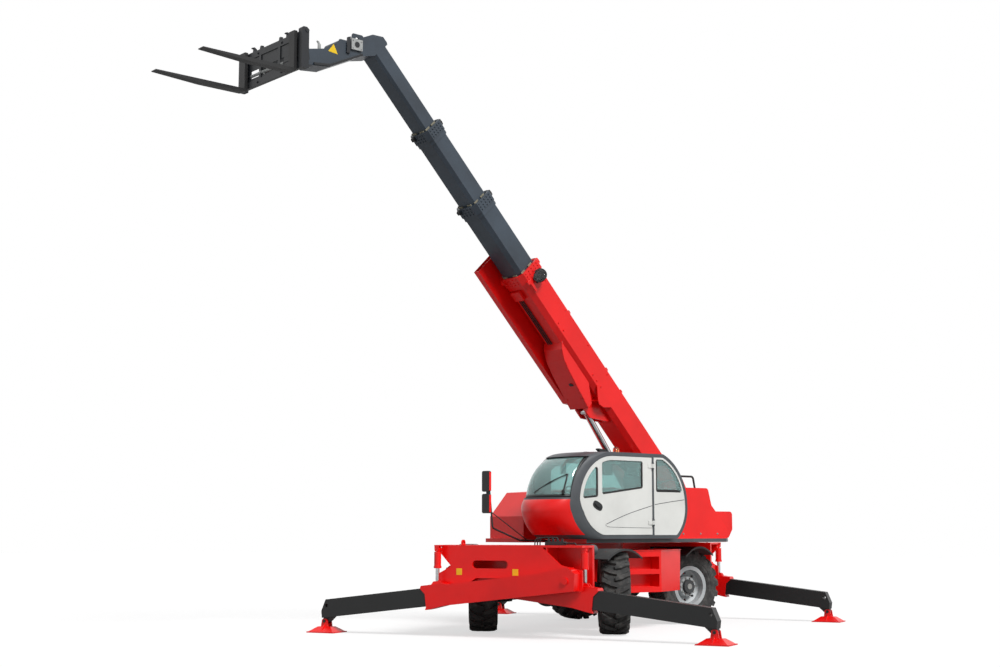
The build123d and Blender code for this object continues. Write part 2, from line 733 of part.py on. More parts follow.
# Cab.
def cab_section(bow, inset):
    """The cab's outline at one station across it, as a face of Y and Z."""
    p = [(side + (middle - side) * bow + iy * inset, z + iz * inset)
         for side, middle, z, iy, iz in cab_points]
    edges = [ThreePointArc(p[0], p[1], p[2]), ThreePointArc(p[2], p[3], p[4]), Line(p[4], p[5]),
             ThreePointArc(p[5], p[6], p[7]), ThreePointArc(p[7], p[8], p[9]),
             ThreePointArc(p[9], p[10], p[11]),
             Line(p[11], p[0])]
    return make_face(Curve() + edges)


def cab_solid(inset):
    x0, x1 = cab_inner_x + inset, cab_outer_x - inset
    stations = [Plane.YZ.offset(x0 + (x1 - x0) * share) * cab_section(bow, inset)
                for share, bow in cab_stations]
    return loft(stations)


def side_zone(inset, y0, y1, z0, z1, x0, x1, radius=0):
    """A prism across one side wall: the side's outline drawn in by inset, between two Y and above the
    line from z0 to z1. An offset in and out again rounds its corners."""
    face = offset(cab_section(0, 0), -inset)
    face &= outline([(y0, z0), (y1, z1), (y1, cab_roof), (y0, cab_roof)])
    if radius:
        face = offset(offset(face.face(), -radius), radius)
    return side_face(face.face(), x0, x1)


def window(inset, edges, x0, x1, gap=0):
    """One side window, as its hole or as the pane that lies in it with a gap all round."""
    y0, y1, z0, z1 = edges
    return side_zone(inset + gap, y0 + gap, y1 - gap, z0 + gap, z1 + gap, x0, x1, window_round)


def front_zone(z0, z1, rear, gap=0):
    """The space ahead of the two side frames, which the windscreen and the nose fill."""
    inner, outer = cab_inner_x + corner_post + gap, cab_outer_x - corner_post - gap
    frames = side_face(offset(cab_section(0, 0), corner_depth + gap).face(), cab_inner_x, cab_outer_x)
    return block(inner, outer, -2200, rear, z0, z1) - frames


def save_cab():
    skin = cab_solid(0) - cab_solid(cab_wall)
    in_x, out_x, inner = cab_outer_x - cab_wall, cab_outer_x, cab_inner_x
    front, rear = -2000, 1000
    door_hole = side_zone(door_frame, front, door_rear, 0, 0, in_x - 1, out_x + 1)
    panel_hole = side_zone(door_frame, door_rear + door_pillar, rear, 0, 0, in_x - 1, out_x + 1)
    door = side_zone(door_frame + door_gap, front, door_rear - door_gap, 0, 0, in_x, out_x)
    panel = side_zone(door_frame + face_gap, door_rear + door_pillar + face_gap, rear, 0, 0, in_x, out_x)
    pane_x = out_x - cab_wall / 2
    panes = []
    for edges in door_windows:
        frame = door_frame + window_frame
        door -= window(frame, edges, in_x - 2, out_x + 2)
        panes.append(window(frame, edges, pane_x, pane_x + glass_thick, face_gap))
    frame = door_frame + rear_frame
    panel -= window(frame, rear_window, in_x - 2, out_x + 2)
    rear_pane = window(frame, rear_window, pane_x, pane_x + glass_thick, face_gap)
    frame = 2 * window_frame
    right_hole = window(frame, right_window, inner - 1, inner + cab_wall + 1)
    right_pane = window(frame, right_window, inner + glass_inset, inner + glass_inset + glass_thick, face_gap)
    thin = cab_solid(glass_inset) - cab_solid(glass_inset + glass_thick)
    screen_rear, nose_rear, nose_top = -1100, -900, screen_low - 30
    screen_hole = front_zone(screen_low, screen_top, screen_rear)
    back_hole = block(inner + 2 * pillar, out_x - 2 * pillar, 400, 1000, 2000, screen_top - 80)
    nose_hole = front_zone(nose_low, nose_top, nose_rear)
    nose = skin & front_zone(nose_low, nose_top - face_gap, nose_rear - face_gap, face_gap)
    shell = skin - door_hole - panel_hole - right_hole - screen_hole - back_hole - nose_hole
    x, y = out_x + hinge_out, door_rear
    for z in hinge_heights:
        door += rod_z(hinge_radius, z - hinge_half, z + hinge_half, x, y)
        door += block(out_x - 1, out_x + 10, y - 90, y - door_gap, z - hinge_half, z + hinge_half)
        door -= rod_z(hinge_pin_radius + pin_fit, z - 200, z + 200, x, y)
        for z0 in (z - hinge_half - 20, z + hinge_half + face_gap):
            shell += rod_z(hinge_radius, z0, z0 + 20 - face_gap, x, y)
            shell += block(out_x - 1, out_x + 10, y + 2, y + door_pillar - 2, z0, z0 + 20 - face_gap)
        shell += rod_z(hinge_pin_radius, z - hinge_half - 20, z + hinge_half + 20, x, y)
    save("cab_shell", turret_place * shell)
    save("cab_lower_panel", turret_place * nose)
    save("cab_side_panel", turret_place * panel)
    save("cab_door", turret_place * door)
    save("door_glass", *[turret_place * pane for pane in panes])
    screen = thin & front_zone(screen_low, screen_top, screen_rear, face_gap)
    glass = (screen, thin & back_hole, rear_pane, right_pane)
    save("cab_glass", *[turret_place * pane for pane in glass])
    save("cab_seat", turret_place * cab_seat(), turret_place * steering_column())


def cab_seat():
    low = cab_level
    seat = block(620, 980, -250, 250, low, low + 250) + block(560, 1040, -420, 230, low + 250, low + 400)
    return seat + block(570, 1030, 120, 240, low + 390, low + 1050)


def steering_column():
    low = cab_level
    column = side_plate([(-1290, low), (-1140, low), (-1060, low + 560), (-1130, low + 560)], 750, 850)
    wheel = Torus(wheel_radius, wheel_grip)
    for turn in (0, 120, 240):
        wheel += Rot(0, 0, turn) * block(0, wheel_radius, -12, 12, -8, 8)
    return column + Pos(800, -1065, low + 620) * Rot(-35, 0, 0) * (wheel + rod_z(35, -90, 12, 0, 0))


def mirrors():
    """Two mirror heads on a bent arm with a stay, ahead of the cab, and a grab rail behind it."""
    arm = FilletPolyline((420, -1250.3, 1330), (420, -1850, 1340), (390, -2350, 1520), (370, -2420, 2290),
                         radius=60)
    tubes = sweep(Plane(arm @ 0, z_dir=arm % 0) * Circle(13), path=arm)
    stay = Line((420, -1700, 1338), (381, -2385, 1760))
    tubes += sweep(Plane(stay @ 0, z_dir=stay % 0) * Circle(7), path=stay)
    for z0, z1 in ((1730, 2010), (2040, 2340)):
        tubes += front_plate([(290, z0), (450, z0), (450, z1), (290, z1)], -2470, -2430, 30)
    return tubes + block(350, 390, -2440, -2405, 1800, 2250)


def grab_rail():
    low = weight_top - 40
    line = FilletPolyline((900, 1010, low), (900, 1060, 2330), (900, 1400, 2330), (900, 1450, low), radius=50)
    rail = sweep(Plane(line @ 0, z_dir=line % 0) * Circle(16), path=line)
    return rail - block(850, 950, 900, 1600, low - 50, weight_top + face_gap)


def beacon():
    x, y, base = beacon_x, beacon_y, cab_roof
    return (rod_z(60, base, base + 30, x, y) + rod_z(50, base + 29, base + 90, x, y)
            + Pos(x, y, base + 90) * Sphere(50))


# Boom, built along -Y from its pivot at the origin.
def boom_outline(shrink):
    half, top, low = boom_width / 2 - shrink, boom_height / 2 - shrink, -boom_height / 2 + shrink
    cut = boom_chamfer - 0.4 * shrink
    return [(-half, low + cut), (-half + cut, low), (half - cut, low), (half, low + cut), (half, top - 20),
            (half - 20, top), (-half + 20, top), (-half, top - 20)]


def boom_tube(shrink, start, stop):
    body = front_plate(boom_outline(shrink), -stop, -start)
    return body - front_plate(boom_outline(shrink + boom_wall), -stop - 1, -start + 1)


def collar(shrink, stop):
    """A stepped band round the open end of a boom section, with a guide housing on its top."""
    ring = front_plate(boom_outline(shrink - collar_proud), -stop, -stop + collar_length)
    ring += front_plate(boom_outline(shrink - collar_proud / 2), -stop, -stop + collar_length + collar_step)
    top = boom_height / 2 - shrink + collar_proud
    for x in (-0.45 * boom_width + shrink + 60, 0.45 * boom_width - shrink - 60):
        ring += block(x - 45, x + 45, -stop, -stop + collar_length - 30, top - 2, top + guide_proud)
    return ring - front_plate(boom_outline(shrink + boom_wall), -stop - 1,
                              -stop + collar_length + collar_step + 1)


def boom_base():
    body = boom_tube(0, boom_rear, boom_collar) + collar(0, boom_collar)
    half = boom_width / 2
    for x0 in (-cheek_inner + 4, half - 1):
        body += rod_x(100, x0, x0 + cheek_inner - 4 - half + 1, 0, 0)
    body += rod_x(boom_pin_radius + 25, -half, half, 0, 0)
    body += lift_bracket()
    for l in boom_eyes:
        eye = side_plate([(-l - 60, boom_height / 2 - 1), (-l + 60, boom_height / 2 - 1),
                          (-l + 25, boom_height / 2 + 55),
                          (-l - 25, boom_height / 2 + 55)], half - 80, half - 60, 4)
        body += eye - rod_x(15, half - 90, half - 50, -l, boom_height / 2 + 32)
    return body - rod_x(boom_pin_radius + pin_fit, -400, 400, 0, 0)


def lift_bracket():
    """Twin plates under the boom for the lift rod's eye, closed in front, with gussets on the boom's sides."""
    under, low = -boom_height / 2, lift_eye_h - 82
    front, back = -lift_eye_l - 380, -lift_eye_l + 420
    lug = [(front, under + 1), (-lift_eye_l - 90, low), (-lift_eye_l + 70, low), (back, under + 1)]
    bracket = side_plate(lug, lift_plate_inner, lift_plate_inner + lift_plate)
    bracket += side_plate(lug, -lift_plate_inner - lift_plate, -lift_plate_inner)
    outer = lift_plate_inner + lift_plate
    cover = side_plate([(front - 12, under + 1), (front, under + 1), (-lift_eye_l - 90, low),
                        (-lift_eye_l - 102, low)],
                       -outer, outer)
    slope = math.degrees(math.atan2(under - low, -lift_eye_l - 90 - front))
    hole = Pos(0, (front - lift_eye_l - 90) / 2, (under + low) / 2) * Rot(-slope, 0, 0) * Cylinder(55, 100)
    bracket += cover - hole
    half = boom_width / 2
    gusset = [(front + 60, under + 90), (back - 220, under + 90), (-lift_eye_l + 60, under - 70),
              (-lift_eye_l - 40, under - 110), (-lift_eye_l - 120, under - 70)]
    for x0 in (half - 1, -half - gusset_thick + 1):
        plate = side_plate(gusset, x0, x0 + gusset_thick, 25)
        bracket += plate
    return (bracket
            + block(-half - gusset_thick + 1, half + gusset_thick - 1, -lift_eye_l - 100, -lift_eye_l - 80,
                    under - 90, under + 1)
            - block(-lift_plate_inner, lift_plate_inner, -lift_eye_l - 130,
                    -lift_eye_l, low, under - 1))


def boom_tray():
    """A long open-ended box along the boom's right side, which reaches below the boom."""
    x1 = -boom_width / 2 - collar_proud - face_gap
    x0 = x1 - tray_width
    low = -boom_height / 2 - tray_drop
    front, rear = -boom_collar - tray_past, -tray_start
    body = side_plate([(front, tray_top), (rear, tray_top), (rear, low + 120), (rear - 150, low),
                       (front, low)], x0, x1)
    body -= side_plate([(front - 1, tray_top - tray_wall), (rear - tray_wall, tray_top - tray_wall),
                        (rear - tray_wall, low + 120 + tray_wall), (rear - 150, low + tray_wall),
                        (front - 1, low + tray_wall)], x0 + tray_wall, x1 - tray_wall)
    for l in (tray_start + 150, boom_collar - 400):
        body += block(x1 - 1, -boom_width / 2 - face_gap, -l - 60, -l, -80, 20)
    return body


def lift_barrel():
    """Runs along -Y from its pin at the origin."""
    body = rod_y(lift_barrel_radius, -lift_barrel_length, -60, 0, 0)
    body += rod_y(lift_barrel_radius + 8, -lift_barrel_length, -lift_barrel_length + 70, 0, 0)
    body -= rod_y(lift_rod_radius + rod_fit, -lift_barrel_length - 1, -80, 0, 0)
    body += rod_x(90, -60, 60, 0, 0)
    return body - rod_x(lift_pin_radius + pin_fit, -100, 100, 0, 0)


def lift_rod():
    """Runs along +Y from its eye at the origin."""
    return rod_y(lift_rod_radius, 40, lift_rod_length, 0, 0) + rod_x(62, -74, 74, 0, 0)


def section(number):
    shrink = number * (boom_wall + boom_gap)
    start = section_rear + (number - 1) * section_overhang
    stop = boom_collar + number * section_overhang
    body = boom_tube(shrink, start, stop)
    shoe = shrink - boom_gap + face_gap
    top, side = boom_height / 2, boom_width / 2
    body += block(-60, 60, -start - shoe_length, -start, top - shrink - 1, top - shoe)
    body += block(-60, 60, -start - shoe_length, -start, -top + shoe, -top + shrink + 1)
    for sign in (-1, 1):
        lo, hi = sorted((sign * (side - shrink - 1), sign * (side - shoe)))
        body += block(lo, hi, -start - shoe_length, -start, -60, 60)
    if number < section_count:
        body += collar(shrink, stop)
    return body


def boom_head():
    """A gooseneck box that turns down from the last section to the tilt pin, built level with the
    end of the last section at the origin."""
    half, tip_y, tip_z = head_half, -neck_reach, -neck_fall
    profile = [(150, 10), (110, 150), (45, 215), (-140, 210), (tip_y + 330, tip_z + 185),
               (tip_y + 60, tip_z + 125),
               (tip_y - 55, tip_z + 70), (tip_y - 75, tip_z - 30), (tip_y - 10, tip_z - 80),
               (tip_y + 160, tip_z - 90), (tip_y + 420, tip_z - 60), (-330, -150), (-90, -95)]
    body = side_plate(profile, -half, half, 20)
    inside = [(-150, 185), (tip_y + 330, tip_z + 160), (tip_y - 200, tip_z + 55), (tip_y - 200, tip_z - 200),
              (tip_y + 120, tip_z - 60), (tip_y + 420, tip_z - 30), (-310, -120)]
    body -= side_plate(inside, neck_plate - half, half - neck_plate)
    body -= Rot(-neck_angle, 0, 0) * block(-half - 50, half + 50, -face_gap, 500, -400, 400)
    for x0, x1 in both_sides(half - 1, half + 12):
        body += rod_x(70, x0, x1, tip_y, tip_z)
        boss = side_plate([(-530, 0), (-330, 0), (-310, 150), (-500, 150)], x0, x1, 25)
        body += boss - rod_x(28, x0 - 1, x1 + 1, -420, 75)
    body += rod_x(60, -half + 1, half - 1, -700, -60)
    return body + rod_x(tilt_pin_radius, -half - 70, half + 70, tip_y, tip_z)


# Carriage and forks, built along -Y with the tilt pin at the origin and the blades level.
def fork_carriage():
    """A plate with a long window between two thick columns, with the fork shaft across it."""
    half, back, front = carriage_width / 2, -carriage_back, -carriage_back - carriage_thick
    top, low = carriage_top, carriage_top - carriage_height
    body = block(-half, half, front, back, top - carriage_bar, top) + block(-half, half, front, back, low,
                                                                            low + carriage_bar)
    for sign in (-1, 1):
        lo, hi = sorted((sign * (half - column_width), sign * half))
        body += side_plate([(front, low), (back + 60, low), (back + 60, top + 20), (back + 30, top + 60),
                            (front + 20, top + 60), (front, top + 40)], lo, hi, 12)
        body += rod_x(28, lo - 8, hi + 8, back + 30, top + 15)
        lo, hi = sorted((sign * (head_half + 60), sign * (head_half + 110)))
        body += block(lo, hi, front, back, low + 1, top - 1)
        body += front_plate([(lo, top - 1), (hi, top - 1), (hi, top + 45), (lo + 15, top + 45)], front + 5,
                            back - 5)
    body += rod_x(shaft_radius, -half + 10, half - 10, back - 25, low + 170)
    inner = head_half + 14
    for sign in (-1, 1):
        lo, hi = sorted((sign * inner, sign * (inner + 35)))
        body += side_plate([(55, 50), (65, -40), (20, -70), (back - 1, low + 30), (back - 1, top - 20),
                            (-120, 80), (0, 80)], lo, hi)
        lo, hi = sorted((sign * inner, sign * (head_half + 100)))
        body += block(lo, hi, back - 30, back, low + 180, low + 260)
    return body - rod_x(tilt_pin_radius + pin_fit, -400, 400, 0, 0)


def forks():
    """Two forged blades whose shanks lie on the carriage's front face."""
    front = -carriage_back - carriage_thick - face_gap
    top, heel = carriage_top + fork_rise, carriage_top - carriage_height - fork_drop
    heel_arc = ThreePointArc((front, heel + fork_heel_radius),
                             (front - 0.29 * fork_heel_radius, heel + 0.29 * fork_heel_radius),
                             (front - fork_heel_radius, heel))
    end = front - fork_length
    blade = [Line((front, top), (front, heel + fork_heel_radius)), heel_arc,
             Line((front - fork_heel_radius, heel), (front - fork_length / 2, heel)),
             Line((front - fork_length / 2, heel), (end, heel + fork_thick - fork_tip)),
             Line((end, heel + fork_thick - fork_tip), (end, heel + fork_thick)),
             Line((end, heel + fork_thick), (front - fork_thick, heel + fork_thick)),
             Line((front - fork_thick, heel + fork_thick), (front - fork_thick, top)),
             Line((front - fork_thick, top), (front, top))]
    face = make_face(Curve() + blade)
    shapes = []
    for x in (-fork_spacing / 2, fork_spacing / 2):
        shapes.append(side_face(face, x - fork_width / 2, x + fork_width / 2))
    return shapes


# Assembly.
save("chassis_frame", chassis_frame())
save("axle_beams", *axle_beams())
save("mudguards", *mudguards())
save("side_boxes", *side_boxes())
save("headlamps", *headlamps())

wheels = (("front_left", -1, 1), ("front_right", -1, -1), ("rear_left", 1, 1), ("rear_right", 1, -1))
left_knuckle, wheel_rim, wheel_tyre = knuckle(), rim(), tyre()
for name, end, side in wheels:
    place = Pos(side * king_pin_x, end * wheel_base / 2, tyre_radius) * Rot(0, 0,
                                                                            steer_front if end < 0 else steer_rear)
    save("knuckle_" + name, place * (left_knuckle if side > 0 else mirror(left_knuckle, about=Plane.YZ)))
    hub = place * Pos(side * (track / 2 - king_pin_x), 0, 0) * Rot(0, 0, 0 if side > 0 else 180)
    save("rim_" + name, hub * wheel_rim)
    save("tyre_" + name, hub * wheel_tyre)

for name, end, row in (("front_right", -1, 0), ("front_left", -1, 1), ("rear_left", 1, 0),
                       ("rear_right", 1, 1)):
    save_stabiliser(name, end, row)

save("turret_frame", turret_place * turret_frame())
save("counterweight", turret_place * counterweight())
save("engine_block", turret_place * engine_block())
save("engine_cover", turret_place * engine_cover())
save_cab()
save("mirrors", turret_place * mirrors(), turret_place * grab_rail())
save("beacon", turret_place * beacon())

save("boom_base", boom_place * boom_base())
save("boom_tray", boom_place * boom_tray())
for number in range(1, section_count + 1):
    save(f"boom_section_{number}", boom_place * section(number))
save("boom_head", neck_place * boom_head())

foot = turret_place * Pos(0, lift_foot_y, lift_foot_z)
eye = boom_place * Pos(0, -lift_eye_l, lift_eye_h)
eye_local = (turret_place.inverse() * eye).position
rise = math.degrees(math.atan2(eye_local.Z - lift_foot_z, lift_foot_y - eye_local.Y))
save("lift_barrel", foot * Rot(-rise, 0, 0) * lift_barrel())
save("lift_rod", Pos(*eye.position) * turret_place * Rot(-rise, 0, 0) * lift_rod())

tilt_place = boom_place * Pos(0, -tilt_l, tilt_h) * Rot(boom_elevation, 0, 0)
save("fork_carriage", tilt_place * fork_carriage())
save("forks", *[tilt_place * blade for blade in forks()])
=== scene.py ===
import json
import math

import bmesh
import bpy
from mathutils import Matrix, Vector


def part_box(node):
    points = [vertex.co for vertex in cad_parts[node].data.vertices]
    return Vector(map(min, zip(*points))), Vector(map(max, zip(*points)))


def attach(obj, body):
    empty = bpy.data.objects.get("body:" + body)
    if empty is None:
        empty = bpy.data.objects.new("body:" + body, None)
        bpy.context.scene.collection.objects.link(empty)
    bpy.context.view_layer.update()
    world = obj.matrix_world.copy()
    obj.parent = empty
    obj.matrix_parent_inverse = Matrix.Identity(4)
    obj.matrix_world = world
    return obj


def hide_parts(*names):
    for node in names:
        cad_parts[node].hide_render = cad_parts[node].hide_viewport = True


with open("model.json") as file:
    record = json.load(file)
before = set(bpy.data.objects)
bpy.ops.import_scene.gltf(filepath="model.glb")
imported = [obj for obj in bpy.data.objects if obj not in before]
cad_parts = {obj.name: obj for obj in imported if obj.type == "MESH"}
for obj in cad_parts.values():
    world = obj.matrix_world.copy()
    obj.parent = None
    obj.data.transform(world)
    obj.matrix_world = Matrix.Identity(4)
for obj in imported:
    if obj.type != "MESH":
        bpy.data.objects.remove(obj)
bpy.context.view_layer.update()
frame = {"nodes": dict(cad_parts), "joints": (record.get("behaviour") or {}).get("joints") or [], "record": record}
nodes = frame["nodes"]
joints = {joint["name"]: joint for joint in frame["joints"]}
bodyOf = {node: body for body, members in frame["record"]["behaviour"]["bodies"].items() for node in members}
corners = ["front_left", "front_right", "rear_left", "rear_right"]
print("frame:", len(nodes), "nodes")


def toLinear(hexColour):
    # the sRGB standard's own curve, from a screen's value to linear light
    shares = [int(hexColour[i:i + 2], 16) / 255 for i in (1, 3, 5)]
    return [s / 12.92 if s <= 0.04045 else ((s + 0.055) / 1.055) ** 2.4 for s in shares] + [1]


def addNode(tree, kind, settings={}, links={}):
    # settings go to the node's own properties, or else to its sockets by name or by number
    node = tree.nodes.new("ShaderNode" + kind)
    for key, value in settings.items():
        if isinstance(key, str) and hasattr(node, key):
            setattr(node, key, value)
        else:
            node.inputs[key].default_value = value
    for key, source in links.items():
        tree.links.new(source, node.inputs[key])
    return node


def newMaterial(name):
    material = bpy.data.materials.new(name)
    material.use_nodes = True
    tree = material.node_tree
    tree.nodes.clear()
    return material, tree


def addTexture(tree, kind, size, settings={}):
    # the size is in millimetres: a texture has about one bump for each unit of its scale
    place = addNode(tree, "TexCoord").outputs["Object"]
    return addNode(tree, kind, {"Scale": 1000 / size, **settings}, {"Vector": place})


def addRange(tree, value, settings):
    return addNode(tree, "MapRange", settings, {"Value": value}).outputs["Result"]


def mixColours(tree, first, second, share):
    # sockets 6 and 7 take the two colours of a colour mix, and output 2 gives the mixture
    return addNode(tree, "Mix", {"data_type": "RGBA", 6: toLinear(first), 7: toLinear(second)},
                   {"Factor": share}).outputs[2]


def addBump(tree, height, strength, millimetres):
    return addNode(tree, "Bump", {"Strength": strength, "Distance": millimetres / 1000},
                   {"Height": height}).outputs["Normal"]


def closeMaterial(material, tree, settings, links):
    shader = addNode(tree, "BsdfPrincipled", settings, links)
    addNode(tree, "OutputMaterial", {}, {"Surface": shader.outputs[0]})
    return material


paints = {
    # colour, shade, roughness; then in mm: the size of its patches, the size of its grain, the grain's height
    "redEnamel": ["#ef0a07", "#dc0806", 0.30, 900, 30, 0.12],       # two-pack enamel sprayed on steel, glossy
    "charcoalEnamel": ["#3a4652", "#29313a", 0.36, 900, 30, 0.12],  # the same enamel in blue grey
    "greyEnamel": ["#4c5054", "#3c4043", 0.45, 700, 25, 0.15],      # satin enamel on pressed steel
    "whiteEnamel": ["#dfe0dc", "#cfd0cc", 0.28, 800, 30, 0.10],     # glossy enamel on the cab's panels
    "rimPowderCoat": ["#b5b9ba", "#9a9fa1", 0.42, 300, 18, 0.18],   # powder coat on steel, faint orange peel
    "mouldedPlastic": ["#1d1e20", "#141516", 0.58, 400, 12, 0.30],  # black polypropylene, with a fine grain
    "blackSteel": ["#0f0f11", "#0a0a0b", 0.48, 500, 16, 0.25],      # forged steel under thin black paint
    "navyEnamel": ["#0d1219", "#090c11", 0.42, 500, 20, 0.15],      # blue-black enamel on welded steel
    "castIron": ["#3a3c3e", "#2a2b2c", 0.62, 200, 10, 0.50],        # sand-cast iron, painted dark, rough
    "beamEnamel": ["#141516", "#0e0f10", 0.42, 600, 25, 0.15],      # black enamel, rubbed satin by sliding
    "moulding": ["#0f1011", "#0a0a0b", 0.35, 300, 10, 0.20],        # EPDM rubber seal, extruded
    "paleBoss": ["#a9abaa", "#8d908f", 0.50, 150, 12, 0.30],        # machined steel, zinc plated, dull silver
    "nylonShoe": ["#8d8874", "#6f6b5c", 0.55, 80, 8, 0.25],         # cast nylon wear pad, yellowed, matt
    "zincBolt": ["#9c9d9a", "#7d7e7b", 0.40, 60, 6, 0.15],          # zinc-plated bolt head, grey with wear
    "blankYellow": ["#f2cb18", "#e3ba12", 0.38, 120, 8, 0.10],      # yellow polyester plate, blank
    "paintedPipe": ["#121213", "#1c1c1d", 0.50, 90, 6, 0.20],       # steel pipe under black paint
}


def paintMaterial(name):
    colour, shade, roughness, patch, grain, height = paints[name]
    smoother, duller = 0.05, 0.10   # how far wear moves the roughness, down and up
    material, tree = newMaterial(name)
    soft = addTexture(tree, "TexNoise", patch, {"Detail": 5.0, "Roughness": 0.6}).outputs["Fac"]
    fine = addTexture(tree, "TexNoise", grain, {"Detail": 3.0}).outputs["Fac"]
    spread = addRange(tree, soft, {"From Min": 0.35, "From Max": 0.7})
    dull = addRange(tree, soft, {"To Min": roughness - smoother, "To Max": roughness + duller})
    return closeMaterial(material, tree, {"IOR": 1.5}, {
        "Base Color": mixColours(tree, colour, shade, spread), "Roughness": dull,
        "Normal": addBump(tree, fine, 0.35, height)})


def rubberMaterial():
    # vulcanised rubber with carbon black: dull, with pale dust lying on it in patches
    material, tree = newMaterial("tyreRubber")
    dust = addTexture(tree, "TexNoise", 120, {"Detail": 8.0, "Roughness": 0.7}).outputs["Fac"]
    fine = addTexture(tree, "TexNoise", 8, {"Detail": 2.0}).outputs["Fac"]
    spread = addRange(tree, dust, {"From Min": 0.45, "From Max": 0.75})
    return closeMaterial(material, tree, {"IOR": 1.52, "Roughness": 0.82}, {
        "Base Color": mixColours(tree, "#2b2b2b", "#5d5c59", spread),
        "Normal": addBump(tree, fine, 0.5, 0.8)})


def brightMetal(name, colour, low, high, patch):
    material, tree = newMaterial(name)
    wear = addTexture(tree, "TexNoise", patch, {"Detail": 4.0}).outputs["Fac"]
    shine = addRange(tree, wear, {"To Min": low, "To Max": high})
    return closeMaterial(material, tree, {"Base Color": toLinear(colour), "Metallic": 1.0},
                         {"Roughness": shine})


def glassMaterial(name, colour, roughness, patch, through=1.0):
    # a pane is a thin solid, so its tint sits in the colour, and pales in soft waves
    material, tree = newMaterial(name)
    waves = addTexture(tree, "TexNoise", patch, {"Detail": 1.0}).outputs["Fac"]
    pale = addRange(tree, waves, {"To Min": 0.0, "To Max": 0.12})
    tint = mixColours(tree, colour, "#ffffff", pale)
    return closeMaterial(material, tree, {"Transmission Weight": through, "Roughness": roughness,
                                          "IOR": 1.45}, {"Base Color": tint})


def vinylMaterial():
    # embossed vinyl cloth over foam: dark grey, with a leather-like grain
    material, tree = newMaterial("seatVinyl")
    # the grain is drawn at 6 mm, because a real one is too fine to show
    grain = addTexture(tree, "TexVoronoi", 6).outputs["Distance"]
    mottle = addTexture(tree, "TexNoise", 60, {"Detail": 3.0}).outputs["Fac"]
    return closeMaterial(material, tree, {"IOR": 1.5, "Roughness": 0.55}, {
        "Base Color": mixColours(tree, "#26282b", "#3a3d41", mottle),
        "Normal": addBump(tree, grain, 0.4, 0.6)})


materials = {name: paintMaterial(name) for name in paints}
materials["tyreRubber"] = rubberMaterial()
materials["seatVinyl"] = vinylMaterial()
# piston rod, hard chrome plated and ground: mirror bright, with faint marks from the seal
materials["hardChrome"] = brightMetal("hardChrome", "#d8dadb", 0.08, 0.20, 25)
# silvered glass of the mirrors
materials["mirrorGlass"] = brightMetal("mirrorGlass", "#c3c8ca", 0.02, 0.06, 80)
# clear pressed lamp lens
materials["clearGlass"] = glassMaterial("clearGlass", "#eef3f2", 0.03, 60)
# float glass, green-blue with a haze
materials["tintedGlass"] = glassMaterial("tintedGlass", "#b4dedb", 0.02, 400, 0.78)
# moulded lamp dome
materials["amberPolycarbonate"] = glassMaterial("amberPolycarbonate", "#f07a12", 0.12, 20)

finishes = {
    "red_paint": "redEnamel", "charcoal_paint": "charcoalEnamel", "grey_paint": "greyEnamel",
    "rim_paint": "rimPowderCoat", "white_paint": "whiteEnamel", "black_plastic": "mouldedPlastic",
    "tyre_rubber": "tyreRubber", "tinted_glass": "tintedGlass", "amber_glass": "amberPolycarbonate",
    "chrome_rod": "hardChrome", "black_steel": "blackSteel", "seat_vinyl": "seatVinyl", "cast": "castIron",
}
ownFinish = {"beam_slide_" + corner: "beamEnamel" for corner in corners}
ownFinish["fork_carriage"] = "navyEnamel"
for name, node in nodes.items():
    for slot in node.material_slots:
        slot.material = materials[ownFinish.get(name) or finishes[slot.material.name.split(".")[0]]]
slotOf = {finish: slot for slot, finish in finishes.items()}
slotOf.update(
    beamEnamel="charcoal_paint", navyEnamel="charcoal_paint", moulding="black_plastic",
    paintedPipe="black_plastic", paleBoss="cast", nylonShoe="cast", zincBolt="cast",
    blankYellow="amber_glass", clearGlass="tinted_glass", mirrorGlass="chrome_rod")
print("materials:", len(materials))


def dress(piece, material, body):
    # into the scene, with its material and the body it rides on
    bpy.context.scene.collection.objects.link(piece)
    piece.data.materials.append(materials[material])
    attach(piece, body)


def addPiece(name, mesh, material, body, bevel=0, levels=0):
    piece = bpy.data.objects.new(name, mesh)
    if bevel:
        rounded = piece.modifiers.new("bevel", "BEVEL")
        rounded.width = bevel
        rounded.segments = 2
        rounded.limit_method = "ANGLE"
    if levels:
        smooth = piece.modifiers.new("subdivision", "SUBSURF")
        smooth.levels = smooth.render_levels = levels
    dress(piece, material, body)
    return piece


def closeMesh(name, shape, smooth=True):
    mesh = bpy.data.meshes.new(name)
    bmesh.ops.recalc_face_normals(shape, faces=shape.faces)
    shape.to_mesh(mesh)
    shape.free()
    for face in mesh.polygons:
        face.use_smooth = smooth
    return mesh


def spinProfile(shape, profile, steps):
    # profile holds (x, radius) points of a closed outline, which turns about the X axis
    rings = []
    for step in range(steps):
        turn = 2 * math.pi * step / steps
        rings.append([shape.verts.new((x, r * math.cos(turn), r * math.sin(turn))) for x, r in profile])
    for step in range(steps):
        near, far = rings[step], rings[(step + 1) % steps]
        for i in range(len(profile)):
            k = (i + 1) % len(profile)
            shape.faces.new([near[i], near[k], far[k], far[i]])


def addPrism(shape, bottom, top):
    # two matching loops of points, joined by a wall
    low = [shape.verts.new(p) for p in bottom]
    high = [shape.verts.new(p) for p in top]
    shape.faces.new(low)
    shape.faces.new(high)
    for i in range(len(low)):
        k = (i + 1) % len(low)
        shape.faces.new([low[i], low[k], high[k], high[i]])


def frameAt(origin, across, back):
    # the place of a group of pieces: X across, Y to the rear, Z up
    across, back = Vector(across).normalized(), Vector(back).normalized()
    place = Matrix((across, back, across.cross(back))).transposed().to_4x4()
    place.translation = origin
    return place


